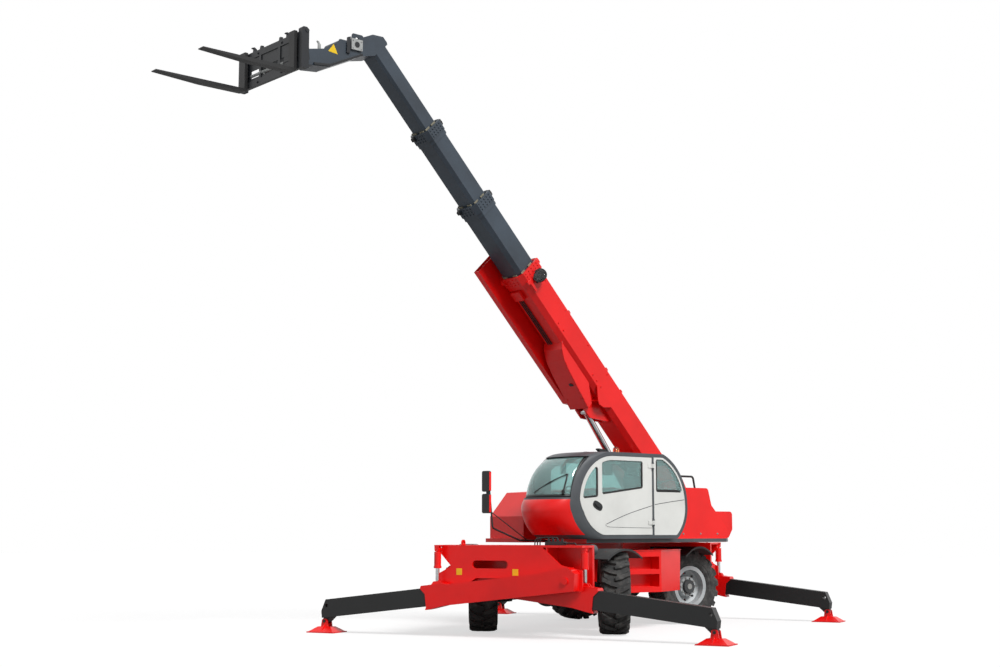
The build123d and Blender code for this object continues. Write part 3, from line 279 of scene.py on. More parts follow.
up = Vector((0, 0, 1))
pinAxis = -Vector(joints["boom_lift"]["axis"])
chassisPlace = Matrix.Identity(4)
turretPlace = frameAt((0, 0, 0), pinAxis, up.cross(pinAxis))
boomPlace = frameAt(joints["boom_lift"]["pos_m"], pinAxis, -Vector(joints["boom_extend_1"]["axis"]))
headPlace = frameAt(joints["fork_tilt"]["pos_m"], pinAxis, up.cross(pinAxis))


def addSlab(shape, low, high):
    (x0, y0, z0), (x1, y1, z1) = low, high
    addPrism(shape, [(x0, y0, z0), (x1, y0, z0), (x1, y1, z0), (x0, y1, z0)],
             [(x0, y0, z1), (x1, y0, z1), (x1, y1, z1), (x0, y1, z1)])


def addSide(shape, points, x0, x1):
    # a plate whose outline lies in Y and Z
    addPrism(shape, [(x0, y, z) for y, z in points], [(x1, y, z) for y, z in points])


def addRod(shape, start, end, radius, sides=20, endRadius=None):
    start, end = Vector(start), Vector(end)
    turn = (end - start).to_track_quat("Z", "Y").to_matrix()
    rings = []
    for centre, r in ((start, radius), (end, endRadius or radius)):
        rings.append([centre + turn @ Vector((r * math.cos(a), r * math.sin(a), 0))
                      for a in (2 * math.pi * i / sides for i in range(sides))])
    addPrism(shape, rings[0], rings[1])


bolt = {"washer": 1.5, "washerThick": 0.25, "head": 1.1}    # shares of the head's radius


def addBolt(shape, at, out, size):
    # a hexagon head on its washer
    at, out = Vector(at), Vector(out).normalized()
    seat = at + out * size * bolt["washerThick"]
    addRod(shape, at, seat, size * bolt["washer"], 16)
    addRod(shape, seat, at + out * size * bolt["head"], size, 6)


def addUnion(shape, at, union):
    # a hose union: each part's foot, top, radius and sides, and how far the stub leans forward
    x, y, z = at
    for part, lean in (("nut", 0), ("stub", union["lean"])):
        low, high, radius, sides = union[part]
        addRod(shape, (x, y, z + low), (x, y - lean, z + high), radius, sides)


def addTurned(shape, at, aim, rows):
    # each row: from and to along the aim, the radius at both, and the sides
    at, aim = Vector(at), Vector(aim).normalized()
    for start, end, radius, endRadius, sides in rows:
        addRod(shape, at + aim * start, at + aim * end, radius, sides, endRadius)


def buildPiece(name, place, body, material, forms, bevel=0.003):
    # forms is a function that fills the shape, or rows of a function that adds a form and what it takes
    shape = bmesh.new()
    if callable(forms):
        forms(shape)
    else:
        for add, *sizes in forms:
            add(shape, *sizes)
    mesh = closeMesh(name, shape, smooth=False)
    mesh.transform(place)
    return addPiece(name, mesh, material, body, bevel)


def addPipe(name, place, body, material, points, radius):
    # a rigid pipe or a bead that follows its points in a smooth line
    curve = bpy.data.curves.new(name, "CURVE")
    curve.dimensions, curve.bevel_depth, curve.bevel_resolution = "3D", radius, 3
    spline = curve.splines.new("NURBS")
    spline.points.add(len(points) - 1)
    for point, co in zip(spline.points, points):
        point.co = (*(place @ Vector(co)), 1)
    spline.use_endpoint_u, spline.order_u = True, 3
    curve.use_fill_caps = True
    dress(bpy.data.objects.new(name, curve), material, body)


tyre = {
    "sides": 96, "lugs": 20, "lugHeight": 0.038, "lugWidth": 0.056, "lugSlant": 0.105,
    # from the crown to the bead: in from the sidewall, then down from the crown or the radius
    "shoulder": ((0.045, 0.006), (0.014, 0.040)),
    "sidewall": ((0.002, 0.475), (0.001, 0.450), (0.004, 0.415), (0.010, 0.408), (0.013, 0.372),
                 (0.034, 0.339), (0.060, 0.333), (0.062, 0.306)),
    # a lug's four places, from the middle or the sidewall, and its edges' shares of the slant there
    "lugInner": (-0.012, 0.08), "lugOuter": (0.05, 0.010),
    "leading": (0, 0.30, 0.80, 0.95), "trailing": (0, 0.18, 0.62, 0.79),
    "flat": 0.6, "shoulderDrop": 0.030,     # level over this share of the tread, then it drops
    "root": 0.012, "rootDepth": 0.045, "flank": 1.12,
    "foot": ((0.012, 0.03), (0.004, 0.075), (0.016, 0.075), (0.03, 0.03)), "footSpan": (0.0771, 0.14525),
}


def tyreMesh(radius, half):
    crown = radius - tyre["lugHeight"]
    right = [(0, crown)] + [(half - inward, crown - down) for inward, down in tyre["shoulder"]]
    right += [(half - inward, r) for inward, r in tyre["sidewall"]]
    profile = [(-x, r) for x, r in reversed(right[1:])] + right
    shape = bmesh.new()
    spinProfile(shape, profile, tyre["sides"])
    reach, width = tyre["lugSlant"], tyre["lugWidth"]
    places = [*tyre["lugInner"], *(half - inward for inward in tyre["lugOuter"])]
    leading = [(x, width + share * reach) for x, share in zip(places, tyre["leading"])]
    trailing = [(x, share * reach) for x, share in zip(places, tyre["trailing"])]
    lug = trailing[:1] + leading + trailing[:0:-1]
    middle = (tyre["leading"][-1] * reach + width) / 2
    root, rootRadius = half - tyre["root"], crown - tyre["rootDepth"]
    foot = [(half - inward, crown - down) for inward, down in tyre["foot"]]
    for index in range(2 * tyre["lugs"]):
        side = 1 if index % 2 else -1
        turn = Matrix.Rotation(math.pi * index / tyre["lugs"], 4, "X")
        top, bottom = [], []
        for x, along in lug:
            y = along - middle
            outer = max(0, abs(x) / half - tyre["flat"]) / (1 - tyre["flat"])
            high = math.sqrt((radius - tyre["shoulderDrop"] * outer ** 2) ** 2 - y ** 2)
            top.append(turn @ Vector((side * x, y, high)))
            bottom.append(turn @ Vector((side * min(x, root), y * tyre["flank"], rootRadius)))
        addPrism(shape, bottom, top)
        # the lug's foot runs down the shoulder
        addPrism(shape, *([turn @ Vector((side * x, y - middle, z)) for x, z in foot]
                          for y in tyre["footSpan"]))
    return closeMesh("tyreMesh", shape, smooth=False)


wheelTrim = {
    "nuts": 10, "ring": 0.136, "nutOut": 0.120, "nutSize": 0.013,
    # from and to along the axle, the radius at both, and the sides
    "cap": ((0.158, 0.172, 0.05, 0.044, 24),), "hub": ((0.115, 0.165, 0.1135, 0.106, 40),),
}
for corner in corners:
    low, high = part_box("tyre_" + corner)
    radius = (high.z - low.z) / 2
    axis = Vector(joints["spin_" + corner]["axis"])
    # the box of a turned wheel is wider than the wheel: its half width follows from both its sides
    across = (high.x - low.x) / 2
    half = (across - radius * abs(axis.y)) / abs(axis.x)
    wheelPlace = Matrix.Translation((low + high) / 2) @ axis.to_track_quat("X", "Z").to_matrix().to_4x4()
    body = bodyOf["tyre_" + corner]
    mesh = tyreMesh(radius, half)
    mesh.transform(wheelPlace)
    piece = addPiece("tyreTread_" + corner, mesh, "tyreRubber", body)
    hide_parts("tyre_" + corner)
    side = 1 if "left" in corner else -1

    def fillNuts(shape):
        out, ring = side * wheelTrim["nutOut"], wheelTrim["ring"]
        for index in range(wheelTrim["nuts"]):
            a = 2 * math.pi * index / wheelTrim["nuts"]
            addBolt(shape, (out, ring * math.cos(a), ring * math.sin(a)), (side, 0, 0), wheelTrim["nutSize"])
        addTurned(shape, (0, 0, 0), (side, 0, 0), wheelTrim["cap"])

    buildPiece("wheelNuts_" + corner, wheelPlace, body, "zincBolt", fillNuts, 0.001)
    buildPiece("hubCover_" + corner, wheelPlace, body, "castIron",
               [(addTurned, (0, 0, 0), (side, 0, 0), wheelTrim["hub"])], 0.004)
print("tyres and wheel nuts done")


boomSize = {"half": 0.24, "top": 0.215, "step": 0.028, "proud": 0.022, "mouth": 4.56, "overhang": 1.32}
collar = {
    # rows behind the mouth, then places as shares of the section's half height or half width
    "boltRows": (0.035, 0.085, 0.13), "boltSize": 0.011, "sideBolts": (-0.55, -0.2, 0.15, 0.5, 0.8),
    "underBolts": (-0.5, -0.17, 0.17, 0.5), "topBolts": (-0.25, -0.085, 0.085, 0.25),
    # in from the section's outer face, from and to behind the mouth, half width, places as shares
    "padIn": (0.027, 0.013), "padAlong": (-0.022, 0.08), "padHalf": 0.045, "padHeights": (-0.5, 0.35),
    "padPlaces": (-0.45, 0.45),
    # 1 on top and -1 beneath, from and to in from the side, and an outline behind the mouth and off the face
    "brackets": ((1, 0.10, 0.03, [(-0.01, 0), (0.13, 0), (0.10, 0.055), (0.02, 0.055)]),
                 (1, 0.12, 0.05, [(0.16, -0.02), (0.26, -0.02), (0.24, 0.03), (0.18, 0.03)]),
                 (-1, 0.11, 0.05, [(0, -0.01), (0.09, -0.01), (0.07, 0.04), (0.02, 0.04)])),
    "roller": {"in": (0.11, 0.02), "behind": 0.06, "above": 0.03, "radius": 0.022},
    "unions": 3, "unionPitch": 0.045, "unionBehind": 0.05,
    "union": {"nut": (0, 0.028, 0.017, 6), "stub": (0.020, 0.055, 0.012, 14), "lean": 0.02},
}


def collarDetails(number, body, paint):
    half = boomSize["half"] - number * boomSize["step"]
    top = boomSize["top"] - number * boomSize["step"]
    mouth = -(boomSize["mouth"] + number * boomSize["overhang"])
    face, under = half + boomSize["proud"], top + boomSize["proud"]

    def fillBolts(shape):
        size = collar["boltSize"]
        for y in (mouth + row for row in collar["boltRows"]):
            for share in collar["sideBolts"]:
                for side in (-1, 1):
                    addBolt(shape, (side * face, y, share * top), (side, 0, 0), size)
            for below, above in zip(collar["underBolts"], collar["topBolts"]):
                addBolt(shape, (below * half, y, -under), (0, 0, -1), size)
                addBolt(shape, (above * half, y, under), (0, 0, 1), size)

    def fillPads(shape):
        # nylon pads show in the gap round the next section
        y0, y1 = (mouth + behind for behind in collar["padAlong"])
        wide = collar["padHalf"]
        for side in (-1, 1):
            x0, x1 = sorted(side * (half - inward) for inward in collar["padIn"])
            for z in (share * top for share in collar["padHeights"]):
                addSlab(shape, (x0, y0, z - wide), (x1, y1, z + wide))
            z0, z1 = sorted(side * (top - inward) for inward in collar["padIn"])
            for x in (share * half for share in collar["padPlaces"]):
                addSlab(shape, (x - wide, y0, z0), (x + wide, y1, z1))

    def fillBrackets(shape):
        # the hose guides on the collar's top, and the chain lug under it
        for side, start, end, outline in collar["brackets"]:
            x0, x1 = sorted((side * (half - start), side * (half - end)))
            addSide(shape, [(mouth + y, side * (under + z)) for y, z in outline], x0, x1)
        roller = collar["roller"]
        start, end = ((half - x, mouth + roller["behind"], under + roller["above"]) for x in roller["in"])
        addRod(shape, start, end, roller["radius"])

    def fillUnions(shape):
        # the hose unions on the collar's right-hand shoulder
        for index in range(collar["unions"]):
            x = -half + collar["unionPitch"] * (index + 1)
            addUnion(shape, (x, mouth + collar["unionBehind"], under), collar["union"])

    guidePaint = "mouldedPlastic" if number else paint
    buildPiece("collarUnions_" + str(number), boomPlace, body, "zincBolt", fillUnions, 0.001)
    buildPiece("collarBolts_" + str(number), boomPlace, body, paint, fillBolts, 0.001)
    buildPiece("wearPads_" + str(number), boomPlace, body, "nylonShoe", fillPads, 0.002)
    buildPiece("hoseGuides_" + str(number), boomPlace, body, guidePaint, fillBrackets, 0.004)


for number, (node, paint) in enumerate((("boom_base", "redEnamel"), ("boom_section_1", "charcoalEnamel"),
                                        ("boom_section_2", "charcoalEnamel"))):
    collarDetails(number, bodyOf[node], paint)

boomBody = bodyOf["boom_base"]
lampAt, lampAim = (0.335, -4.36, 0.04), (0.45, -0.75, -0.48)
workLamp = {
    "shell": (addTurned, lampAt, lampAim, ((-0.084, 0, 0.0616, 0.1064, 28), (0, 0.03, 0.112, 0.112, 28),
                                           (-0.108, -0.084, 0.0336, 0.056, 20))),
    "plate": (addSlab, (0.241, -4.39, -0.02), (0.253, -4.27, 0.10)),
    "arm": (addSlab, (0.25, -4.34, 0.02), (0.33, -4.31, 0.06)),
}
workLens = (addTurned, lampAt, lampAim, ((0.026, 0.036, 0.09408, 0.0784, 28),))
buildPiece("workLamp", boomPlace, boomBody, "mouldedPlastic", workLamp.values(), 0.004)
buildPiece("workLampLens", boomPlace, boomBody, "clearGlass", [workLens], 0.002)

liftCover = {
    "half": 0.205, "skin": 0.012, "lean": 0.0036,
    "line": [(-3.28, -0.216), (-3.20, -0.30), (-3.05, -0.375), (-2.85, -0.42), (-2.55, -0.462),
             (-2.17, -0.512)],
    "cheek": [(-2.17, -0.40), (-2.45, -0.216)], "stud": (0.155, -2.35, -0.488), "studSize": 0.012,
}
# the ring round the cover's hole
grommet = (addTurned, (0.10, -2.60, -0.4553), (0, 0.14, -1), ((-0.004, 0.004, 0.045, 0.045, 28),))


def fillLiftCover(shape):
    # a pressed cover in front of the lift bracket, bent along its line, with cheeks and two studs
    line, half, skin = liftCover["line"], liftCover["half"], liftCover["skin"]
    inner = [(y + liftCover["lean"], z + skin) for y, z in reversed(line)]
    addSide(shape, line + inner, -half, half)
    x, y, z = liftCover["stud"]
    size = liftCover["studSize"]
    for side in (-1, 1):
        x0, x1 = sorted((side * half, side * (half - skin)))
        addSide(shape, line + liftCover["cheek"], x0, x1)
        addRod(shape, (side * x, y, z), (side * x, y, z - size), size)


buildPiece("liftCover", boomPlace, boomBody, "redEnamel", fillLiftCover, 0.004)
buildPiece("liftCoverGrommet", boomPlace, boomBody, "moulding", [grommet], 0.002)

sideBolts = (-2.25, -2.38, -2.5, -3.4, -3.55)
boomBolts = [
    (addBolt, (side * boomSize["half"], y, z), (side, 0, 0), size)
    for side, z, size, places in ((1, -0.09, 0.012, sideBolts), (-1, 0.12, 0.012, sideBolts),
                                  (1, 0.155, 0.010, (-2.3, -2.9, -3.6, -4.2)))
    for y in places]
collarGuide = {
    "bar": (addSide, [(-4.42, -0.10), (-4.20, -0.10), (-4.20, -0.15), (-4.36, -0.15), (-4.36, -0.19),
                      (-4.42, -0.19)], 0.241, 0.275),
    "valveBlock": (addSlab, (-0.14, -4.32, -0.275), (0.06, -4.16, -0.216)),
}
boomPipe = {"across": (-0.10, -0.06, -0.02), "radius": 0.009,
            "line": ((-2.1, -0.228), (-2.6, -0.228), (-3.4, -0.228), (-4.1, -0.228), (-4.18, -0.236))}
buildPiece("boomBolts", boomPlace, boomBody, "redEnamel", boomBolts, 0.001)
buildPiece("collarGuide", boomPlace, boomBody, "redEnamel", collarGuide.values(), 0.004)
for index, x in enumerate(boomPipe["across"]):
    addPipe("boomPipe_" + str(index), boomPlace, boomBody, "paintedPipe",
            [(x, y, z) for y, z in boomPipe["line"]], boomPipe["radius"])
print("boom done")


headUnion = {"nut": (-0.06, 0.02, 0.016, 20), "stub": (0.02, 0.06, 0.012, 20), "lean": 0.03}
headBoss = [
    # the pin's cover with its bolts, and the hose unions on the neck
    (addSide, [(0.775, 0.27), (0.965, 0.27), (0.965, 0.43), (0.775, 0.43)], 0.168, 0.188),
    *((addBolt, (0.188, y, z), (1, 0, 0), 0.009) for z in (0.295, 0.405) for y in (0.80, 0.94)),
    *((addUnion, at, headUnion) for at in ((0.10, 0.07, 0.155), (0.06, 0.13, 0.165), (0.10, 0.28, 0.235),
                                           (0.05, 0.33, 0.25))),
]
headFlanges = [
    # the seams of the boss and of the neck on both sides, and the pin's cap
    *((addSide, outline, x, x + 0.025) for x in (-0.182, 0.157) for outline in (
        [(0.70, 0.20), (0.755, 0.20), (0.765, 0.45), (0.71, 0.43)],
        [(0.16, -0.085), (0.43, -0.055), (0.98, 0.215), (0.97, 0.245), (0.42, -0.02), (0.16, -0.05)])),
    (addRod, (0.186, 0.87, 0.35), (0.194, 0.87, 0.35), 0.042, 28),
]
triangle = (addSide, [(0.40, 0.165), (0.56, 0.15), (0.49, 0.285)], 0.1565, 0.1585)
section3 = bodyOf["boom_head"]
buildPiece("headBoss", headPlace, section3, "paleBoss", headBoss, 0.003)
buildPiece("headFlanges", headPlace, section3, "navyEnamel", headFlanges, 0.003)
buildPiece("blankTriangle", headPlace, section3, "blankYellow", [triangle], 0)

carriage = {
    "half": 0.712, "top": 0.022, "low": -0.302, "front": -0.438, "back": -0.418,
    "slot": (-0.50, 0.34, -0.262, -0.150),
    "bolts": [(addBolt, (x, -0.45, z), (0, -1, 0), 0.014) for x in (-0.62, -0.30, 0.30, 0.62)
              for z in (0.065, -0.345)],
    "hooks": (-0.42, 0.42), "hookHalf": 0.02,
    "hook": [(-0.448, 0.109), (-0.402, 0.109), (-0.402, 0.15), (-0.44, 0.175), (-0.475, 0.165), (-0.47, 0.15),
             (-0.445, 0.152)],
}
half, top, low, y0, y1 = (carriage[key] for key in ("half", "top", "low", "front", "back"))
x0, x1, z0, z1 = carriage["slot"]
carriagePlate = [
    # the plate round its slot, its bolts, and the hooks on the top bar
    (addSlab, (-half, y0, z1), (half, y1, top)), (addSlab, (-half, y0, low), (half, y1, z0)),
    (addSlab, (-half, y0, z0), (x0, y1, z1)), (addSlab, (x1, y0, z0), (half, y1, z1)),
    *carriage["bolts"],
    *((addSide, carriage["hook"], x - carriage["hookHalf"], x + carriage["hookHalf"])
      for x in carriage["hooks"]),
]
# the shaft across the slot, and its two sleeves
forkShaft = (addTurned, (0, -0.425, -0.22), (1, 0, 0), (
    (-0.49, 0.33, 0.0215, 0.0215, 24), (-0.26, -0.22, 0.032, 0.032, 24), (0.10, 0.14, 0.032, 0.032, 24)))
buildPiece("carriagePlate", headPlace, bodyOf["fork_carriage"], "navyEnamel", carriagePlate, 0.003)
buildPiece("forkShaftSleeve", headPlace, bodyOf["fork_carriage"], "paleBoss", [forkShaft], 0.002)
print("head and carriage done")


cabCentre = turretPlace @ Vector((0.80, -0.45, 2.0))
cabGlass, doorGlass = nodes["cab_glass"], nodes["door_glass"]
edging = {"pane": 0.040, "door": 0.028, "proud": 0.002, "thick": 0.0015}
# what counts as a pane's border: its fold in degrees, how squarely its face looks out, its fewest points
border = {"weld": 0.0002, "fold": 50, "outward": 0.3, "fewest": 8}


def borderLoops(node):
    # the outer edge of each pane, as ordered points with the pane's normal
    shape = bmesh.new()
    shape.from_mesh(node.data)
    bmesh.ops.remove_doubles(shape, verts=shape.verts, dist=border["weld"])
    edges = {}
    for edge in shape.edges:
        if len(edge.link_faces) != 2 or edge.calc_face_angle(0) < math.radians(border["fold"]):
            continue
        outward = ((edge.verts[0].co + edge.verts[1].co) / 2 - cabCentre).normalized()
        best = max(edge.link_faces, key=lambda face: face.normal.dot(outward))
        if best.normal.dot(outward) < border["outward"]:
            continue
        for a, b in (edge.verts, reversed(edge.verts)):
            edges.setdefault(a.index, []).append((b.index, best.normal.copy()))
    points = {v.index: v.co.copy() for v in shape.verts}
    shape.free()
    loops, used = [], set()
    for start in edges:
        if start in used or len(edges[start]) != 2:
            continue
        loop, here = [], start
        while here is not None and here not in used:
            used.add(here)
            loop.append(here)
            ahead = [n for n, normal in edges.get(here, []) if n not in used]
            here = ahead[0] if ahead else None
        if len(loop) >= border["fewest"]:
            loops.append([(points[i], edges[i][0][1]) for i in loop])
    return loops


def addEdging(name, node, width, body):
    # a black band on the outside of each pane, along its edge
    shape = bmesh.new()
    for loop in borderLoops(node):
        count = len(loop)
        rows = []
        centre = sum((p for p, normal in loop), Vector()) / count
        for i, (point, normal) in enumerate(loop):
            along = loop[(i + 1) % count][0] - loop[i - 1][0]
            inward = normal.cross(along).normalized()
            if inward.dot(centre - point) < 0:
                inward = -inward
            # the band starts on the border, and its other points lie on the pane
            spots = [point] + [node.closest_point_on_mesh(point + inward * width * share)[1]
                               for share in (0.5, 1)]
            rows.append([shape.verts.new(spot + normal * edging["proud"]) for spot in spots])
        for i in range(count):
            a, b = rows[i], rows[(i + 1) % count]
            for k in (0, 1):
                shape.faces.new([a[k], a[k + 1], b[k + 1], b[k]])
    piece = addPiece(name, closeMesh(name, shape), "moulding", body)
    solid = piece.modifiers.new("thickness", "SOLIDIFY")
    solid.thickness, solid.offset = edging["thick"], 0


bpy.context.view_layer.update()
addEdging("paneEdging", cabGlass, edging["pane"], "turret")
addEdging("doorPaneEdging", doorGlass, edging["door"], "door")


def onScreen(spot, out):
    # a point just outside the windscreen, in the turret's own axes
    x, z = spot
    start = turretPlace @ Vector((x, -3.0, z))
    found, near, normal, index = cabGlass.ray_cast(start, turretPlace.to_3x3() @ Vector((0, 1, 0)))
    return turretPlace.inverted() @ (near + normal * out)


wiper = {"line": ((0.72, 2.03), (0.98, 2.17), (1.18, 2.29), (1.19, 2.03)), "out": 0.012,
         "bladeSet": (0, 0.008, -0.02), "hubHalf": (0, 0, 0.03)}
tip, middle, elbow, foot = (onScreen(spot, wiper["out"]) for spot in wiper["line"])
bladeSet, hubHalf = Vector(wiper["bladeSet"]), Vector(wiper["hubHalf"])
wiperForms = [
    (addRod, tip, middle, 0.007, 10), (addRod, middle, elbow, 0.009, 10), (addRod, elbow, foot, 0.012, 12),
    (addRod, foot - hubHalf, foot + hubHalf, 0.022, 16),
    (addRod, tip + bladeSet, middle + bladeSet, 0.006, 8),
    (addRod, middle + bladeSet, elbow + bladeSet, 0.006, 8),
]
stalk = onScreen((0.80, 2.45), -0.03)
innerMirror = {
    "mirror": (addSide, [(stalk.y + y, z) for y, z in ((0.07, 2.31), (0.10, 2.30), (0.10, 2.46),
                                                       (0.07, 2.45))], 0.90, 0.99),
    "stalk": (addRod, stalk, (0.92, stalk.y + 0.09, 2.42), 0.008, 10),
}
buildPiece("wiper", turretPlace, "turret", "moulding", wiperForms, 0.001)
buildPiece("innerMirror", turretPlace, "turret", "mouldedPlastic", innerMirror.values(), 0.008)

# the door's outer face, and how far the painted shade of its creases stands off it
doorFace, shadeLineProud = 1.29, 0.0005
handle = {"y": -1.105, "z": 1.842, "tilt": -0.45, "points": 28, "squareness": 0.7}


def ovalPoints(length, height):
    # a tilted oval round the handle's middle, fuller than an ellipse
    spots, tilt = [], handle["tilt"]
    for i in range(handle["points"]):
        a = 2 * math.pi * i / handle["points"]
        u = length / 2 * math.copysign(abs(math.cos(a)) ** handle["squareness"], math.cos(a))
        v = height / 2 * math.copysign(abs(math.sin(a)) ** handle["squareness"], math.sin(a))
        spots.append((handle["y"] + u * math.cos(tilt) - v * math.sin(tilt),
                      handle["z"] + u * math.sin(tilt) + v * math.cos(tilt)))
    return spots


doorHandle = {
    "recess": (addSide, ovalPoints(0.20, 0.115), doorFace - 0.002, doorFace + 0.006),
    "grip": (addSide, ovalPoints(0.132, 0.0414), doorFace + 0.004, doorFace + 0.022),
    "lock": (addRod, (doorFace, -1.165, 1.877), (doorFace + 0.012, -1.165, 1.877), 0.014),
}
creaseShadeLines = {
    # grey lines that paint the shade in the pressed creases of the door and of the panel behind it: body, radius,
    # line
    "doorCreaseShade": ("door", 0.0045, [(-0.93, 1.575), (-0.70, 1.66), (-0.35, 1.765), (0.035, 1.852)]),
    "doorCreaseLowShade": ("door", 0.003, [(-0.95, 1.568), (-0.93, 1.54), (-0.80, 1.53), (0.03, 1.52)]),
    "panelCreaseShade": ("turret", 0.0045, [(0.105, 1.87), (0.40, 1.915), (0.76, 1.95)]),
}
roofTrim = {
    "cowl": (addSide, [(-0.80, 2.636), (-0.66, 2.636), (-0.70, 2.681), (-0.84, 2.696), (-0.86, 2.684)],
             1.00, 1.06),
    "lug": (addSide, [(-0.74, 2.636), (-0.62, 2.636), (-0.66, 2.666), (-0.72, 2.666)], 0.60, 0.66),
    "beaconFoot": (addRod, (0.48, 0.10, 2.635), (0.48, 0.10, 2.670), 0.072, 28, 0.064),
}
buildPiece("doorHandle", turretPlace, "door", "mouldedPlastic", doorHandle.values(), 0.003)
# each crease's shade is painted as a thin grey bead just off the white face
for name, (body, radius, line) in creaseShadeLines.items():
    addPipe(name, turretPlace, body, "greyEnamel", [(doorFace + shadeLineProud, y, z) for y, z in line], radius)
buildPiece("roofTrim", turretPlace, "turret", "mouldedPlastic", roofTrim.values(), 0.003)

seat = {
    # two corners, how far the face is crowned, the places of its sewn channels, the axis it looks along
    "seatCushion": ((0.565, -0.415, 1.665), (1.035, 0.10, 1.80), 0.03, (-0.45, 0.45), 2),
    "seatBack": ((0.575, 0.10, 1.80), (1.025, 0.225, 2.33), 0.018, (-0.45, 0.45), 1),
    "seatHeadrest": ((0.68, 0.12, 2.345), (0.92, 0.215, 2.45), 0.018, (), 1),
}
padding = {"cuts": 13, "edge": 6, "thin": 0.55, "channelWidth": 0.035, "channelDepth": 0.010, "pull": 0.03,
           "corner": 0.05, "size": 0.97}


def cushionShape(low, high, crown, channels, face):
    # a closed pad, crowned on its face, drawn in between its corners, with sewn channels
    low, high = Vector(low), Vector(high)
    size, middle = (high - low) / 2, (high + low) / 2
    shape = bmesh.new()
    bmesh.ops.create_cube(shape, size=2)
    bmesh.ops.subdivide_edges(shape, edges=shape.edges, cuts=padding["cuts"], use_grid_fill=True)
    first, second, way = (0, 1, 1) if face == 2 else (0, 2, -1)
    for vertex in shape.verts:
        u, v, w = vertex.co[first], vertex.co[second], vertex.co[face] * way
        fullness = math.sqrt((1 - u ** padding["edge"]) * (1 - v ** padding["edge"]))
        w *= padding["thin"] + (1 - padding["thin"]) * fullness
        if w > 0:
            groove = sum(math.exp(-((u - c) / padding["channelWidth"]) ** 2) for c in channels)
            w += crown / size[face] * (1 - u * u) * (1 - v * v)
            w -= padding["channelDepth"] / size[face] * groove * (1 - v ** 4)
        corner = 1 - padding["corner"] * (u * v) ** 2
        new = [0, 0, 0]
        new[first] = u * (1 - padding["pull"] * (1 - v * v)) * corner
        new[second] = v * (1 - padding["pull"] * (1 - u * u)) * corner
        new[face] = w * way
        vertex.co = Vector(new[i] * size[i] * padding["size"] + middle[i] for i in range(3))
    return shape


for name, pad in seat.items():
    mesh = closeMesh(name, cushionShape(*pad))
    mesh.transform(turretPlace)
    piece = addPiece(name, mesh, "seatVinyl", "turret", levels=1)
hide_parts("cab_seat")

cabFloor, seatMiddle = 1.406, 0.80
seatFrame = {
    "foot": (addSlab, (0.63, -0.23, cabFloor), (0.97, 0.22, 1.456)),
    "pan": (addSlab, (0.60, -0.38, 1.646), (1.00, 0.20, 1.668)),
}
bellows = {"folds": 5, "low": 1.456, "fold": 0.038, "out": 0.012}
armrest = [(-0.22, 1.93), (0.10, 1.93), (0.14, 1.86), (0.18, 1.86), (0.14, 1.97), (-0.20, 1.98),
           (-0.24, 1.955)]
for index in range(bellows["folds"]):
    z, out = bellows["low"] + bellows["fold"] * index, bellows["out"] * (index % 2)
    seatFrame["fold" + str(index)] = (addSlab, (0.66 - out, -0.20 - out, z),
                                      (0.94 + out, 0.19 + out, z + bellows["fold"]))
for side in (-1, 1):
    arm, post = seatMiddle + side * 0.222, seatMiddle + side * 0.06
    seatFrame["armrest" + str(side)] = (addSide, armrest, arm - 0.016, arm + 0.016)
    seatFrame["lever" + str(side)] = (addRod, (arm, -0.18, 1.975), (arm, -0.20, 2.05), 0.012, 12, 0.016)
    seatFrame["post" + str(side)] = (addRod, (post, 0.17, 2.30), (post, 0.17, 2.36), 0.008, 10)
steering = {
    # the column's outline stands above the floor
    "column": [(-1.29, 0), (-1.14, 0), (-1.06, 0.56), (-1.13, 0.56)], "columnHalf": 0.05,
    "y": -1.065, "height": 0.62, "tilt": -35, "radius": 0.18, "grip": 0.013, "around": 36, "gripSides": 8,
    "spokes": (90, 210, 330), "spokeLength": 0.175, "spokeRadius": 0.011, "hub": (-0.09, 0.014),
    "hubRadius": 0.036,
}
dashboard = {
    "console": (addSide, [(-1.56, 1.50), (-1.60, 1.84), (-1.56, 1.945), (-1.44, 1.965), (-1.33, 1.90),
                          (-1.30, 1.78), (-1.36, 1.50)], 0.47, 1.12),
    "gaugeHood": (addSide, [(-1.44, 1.95), (-1.36, 1.93), (-1.34, 2.02), (-1.42, 2.05)], 0.66, 0.94),
    "monitor": (addSlab, (1.02, -0.78, 2.30), (1.10, -0.60, 2.50)),
    "monitorArm": (addSlab, (1.04, -0.72, 2.48), (1.08, -0.66, 2.58)),
}


def fillSteering(shape):
    x, half, radius, grip = seatMiddle, steering["columnHalf"], steering["radius"], steering["grip"]
    addSide(shape, [(y, cabFloor + z) for y, z in steering["column"]], x - half, x + half)
    wheelAt = (Matrix.Translation((x, steering["y"], cabFloor + steering["height"]))
               @ Matrix.Rotation(math.radians(steering["tilt"]), 4, "X"))
    around, sides = steering["around"], steering["gripSides"]
    rings = []
    for a in (2 * math.pi * i / around for i in range(around)):
        ring = []
        for b in (2 * math.pi * k / sides for k in range(sides)):
            r = radius + grip * math.cos(b)
            spot = Vector((r * math.cos(a), r * math.sin(a), grip * math.sin(b)))
            ring.append(shape.verts.new(wheelAt @ spot))
        rings.append(ring)
    for i in range(around):
        a, b = rings[i], rings[(i + 1) % around]
        for k in range(sides):
            after = (k + 1) % sides
            shape.faces.new([a[k], a[after], b[after], b[k]])
    for a in (math.radians(degrees) for degrees in steering["spokes"]):
        end = Vector((math.cos(a), math.sin(a), 0)) * steering["spokeLength"]
        addRod(shape, wheelAt @ Vector(), wheelAt @ end, steering["spokeRadius"], 10)
    addRod(shape, *(wheelAt @ Vector((0, 0, z)) for z in steering["hub"]), steering["hubRadius"], 24)


buildPiece("seatFrame", turretPlace, "turret", "mouldedPlastic", seatFrame.values(), 0.005)
buildPiece("steeringWheel", turretPlace, "turret", "mouldedPlastic", fillSteering, 0.002)
buildPiece("dashboard", turretPlace, "turret", "mouldedPlastic", dashboard.values(), 0.012)
print("cab done")


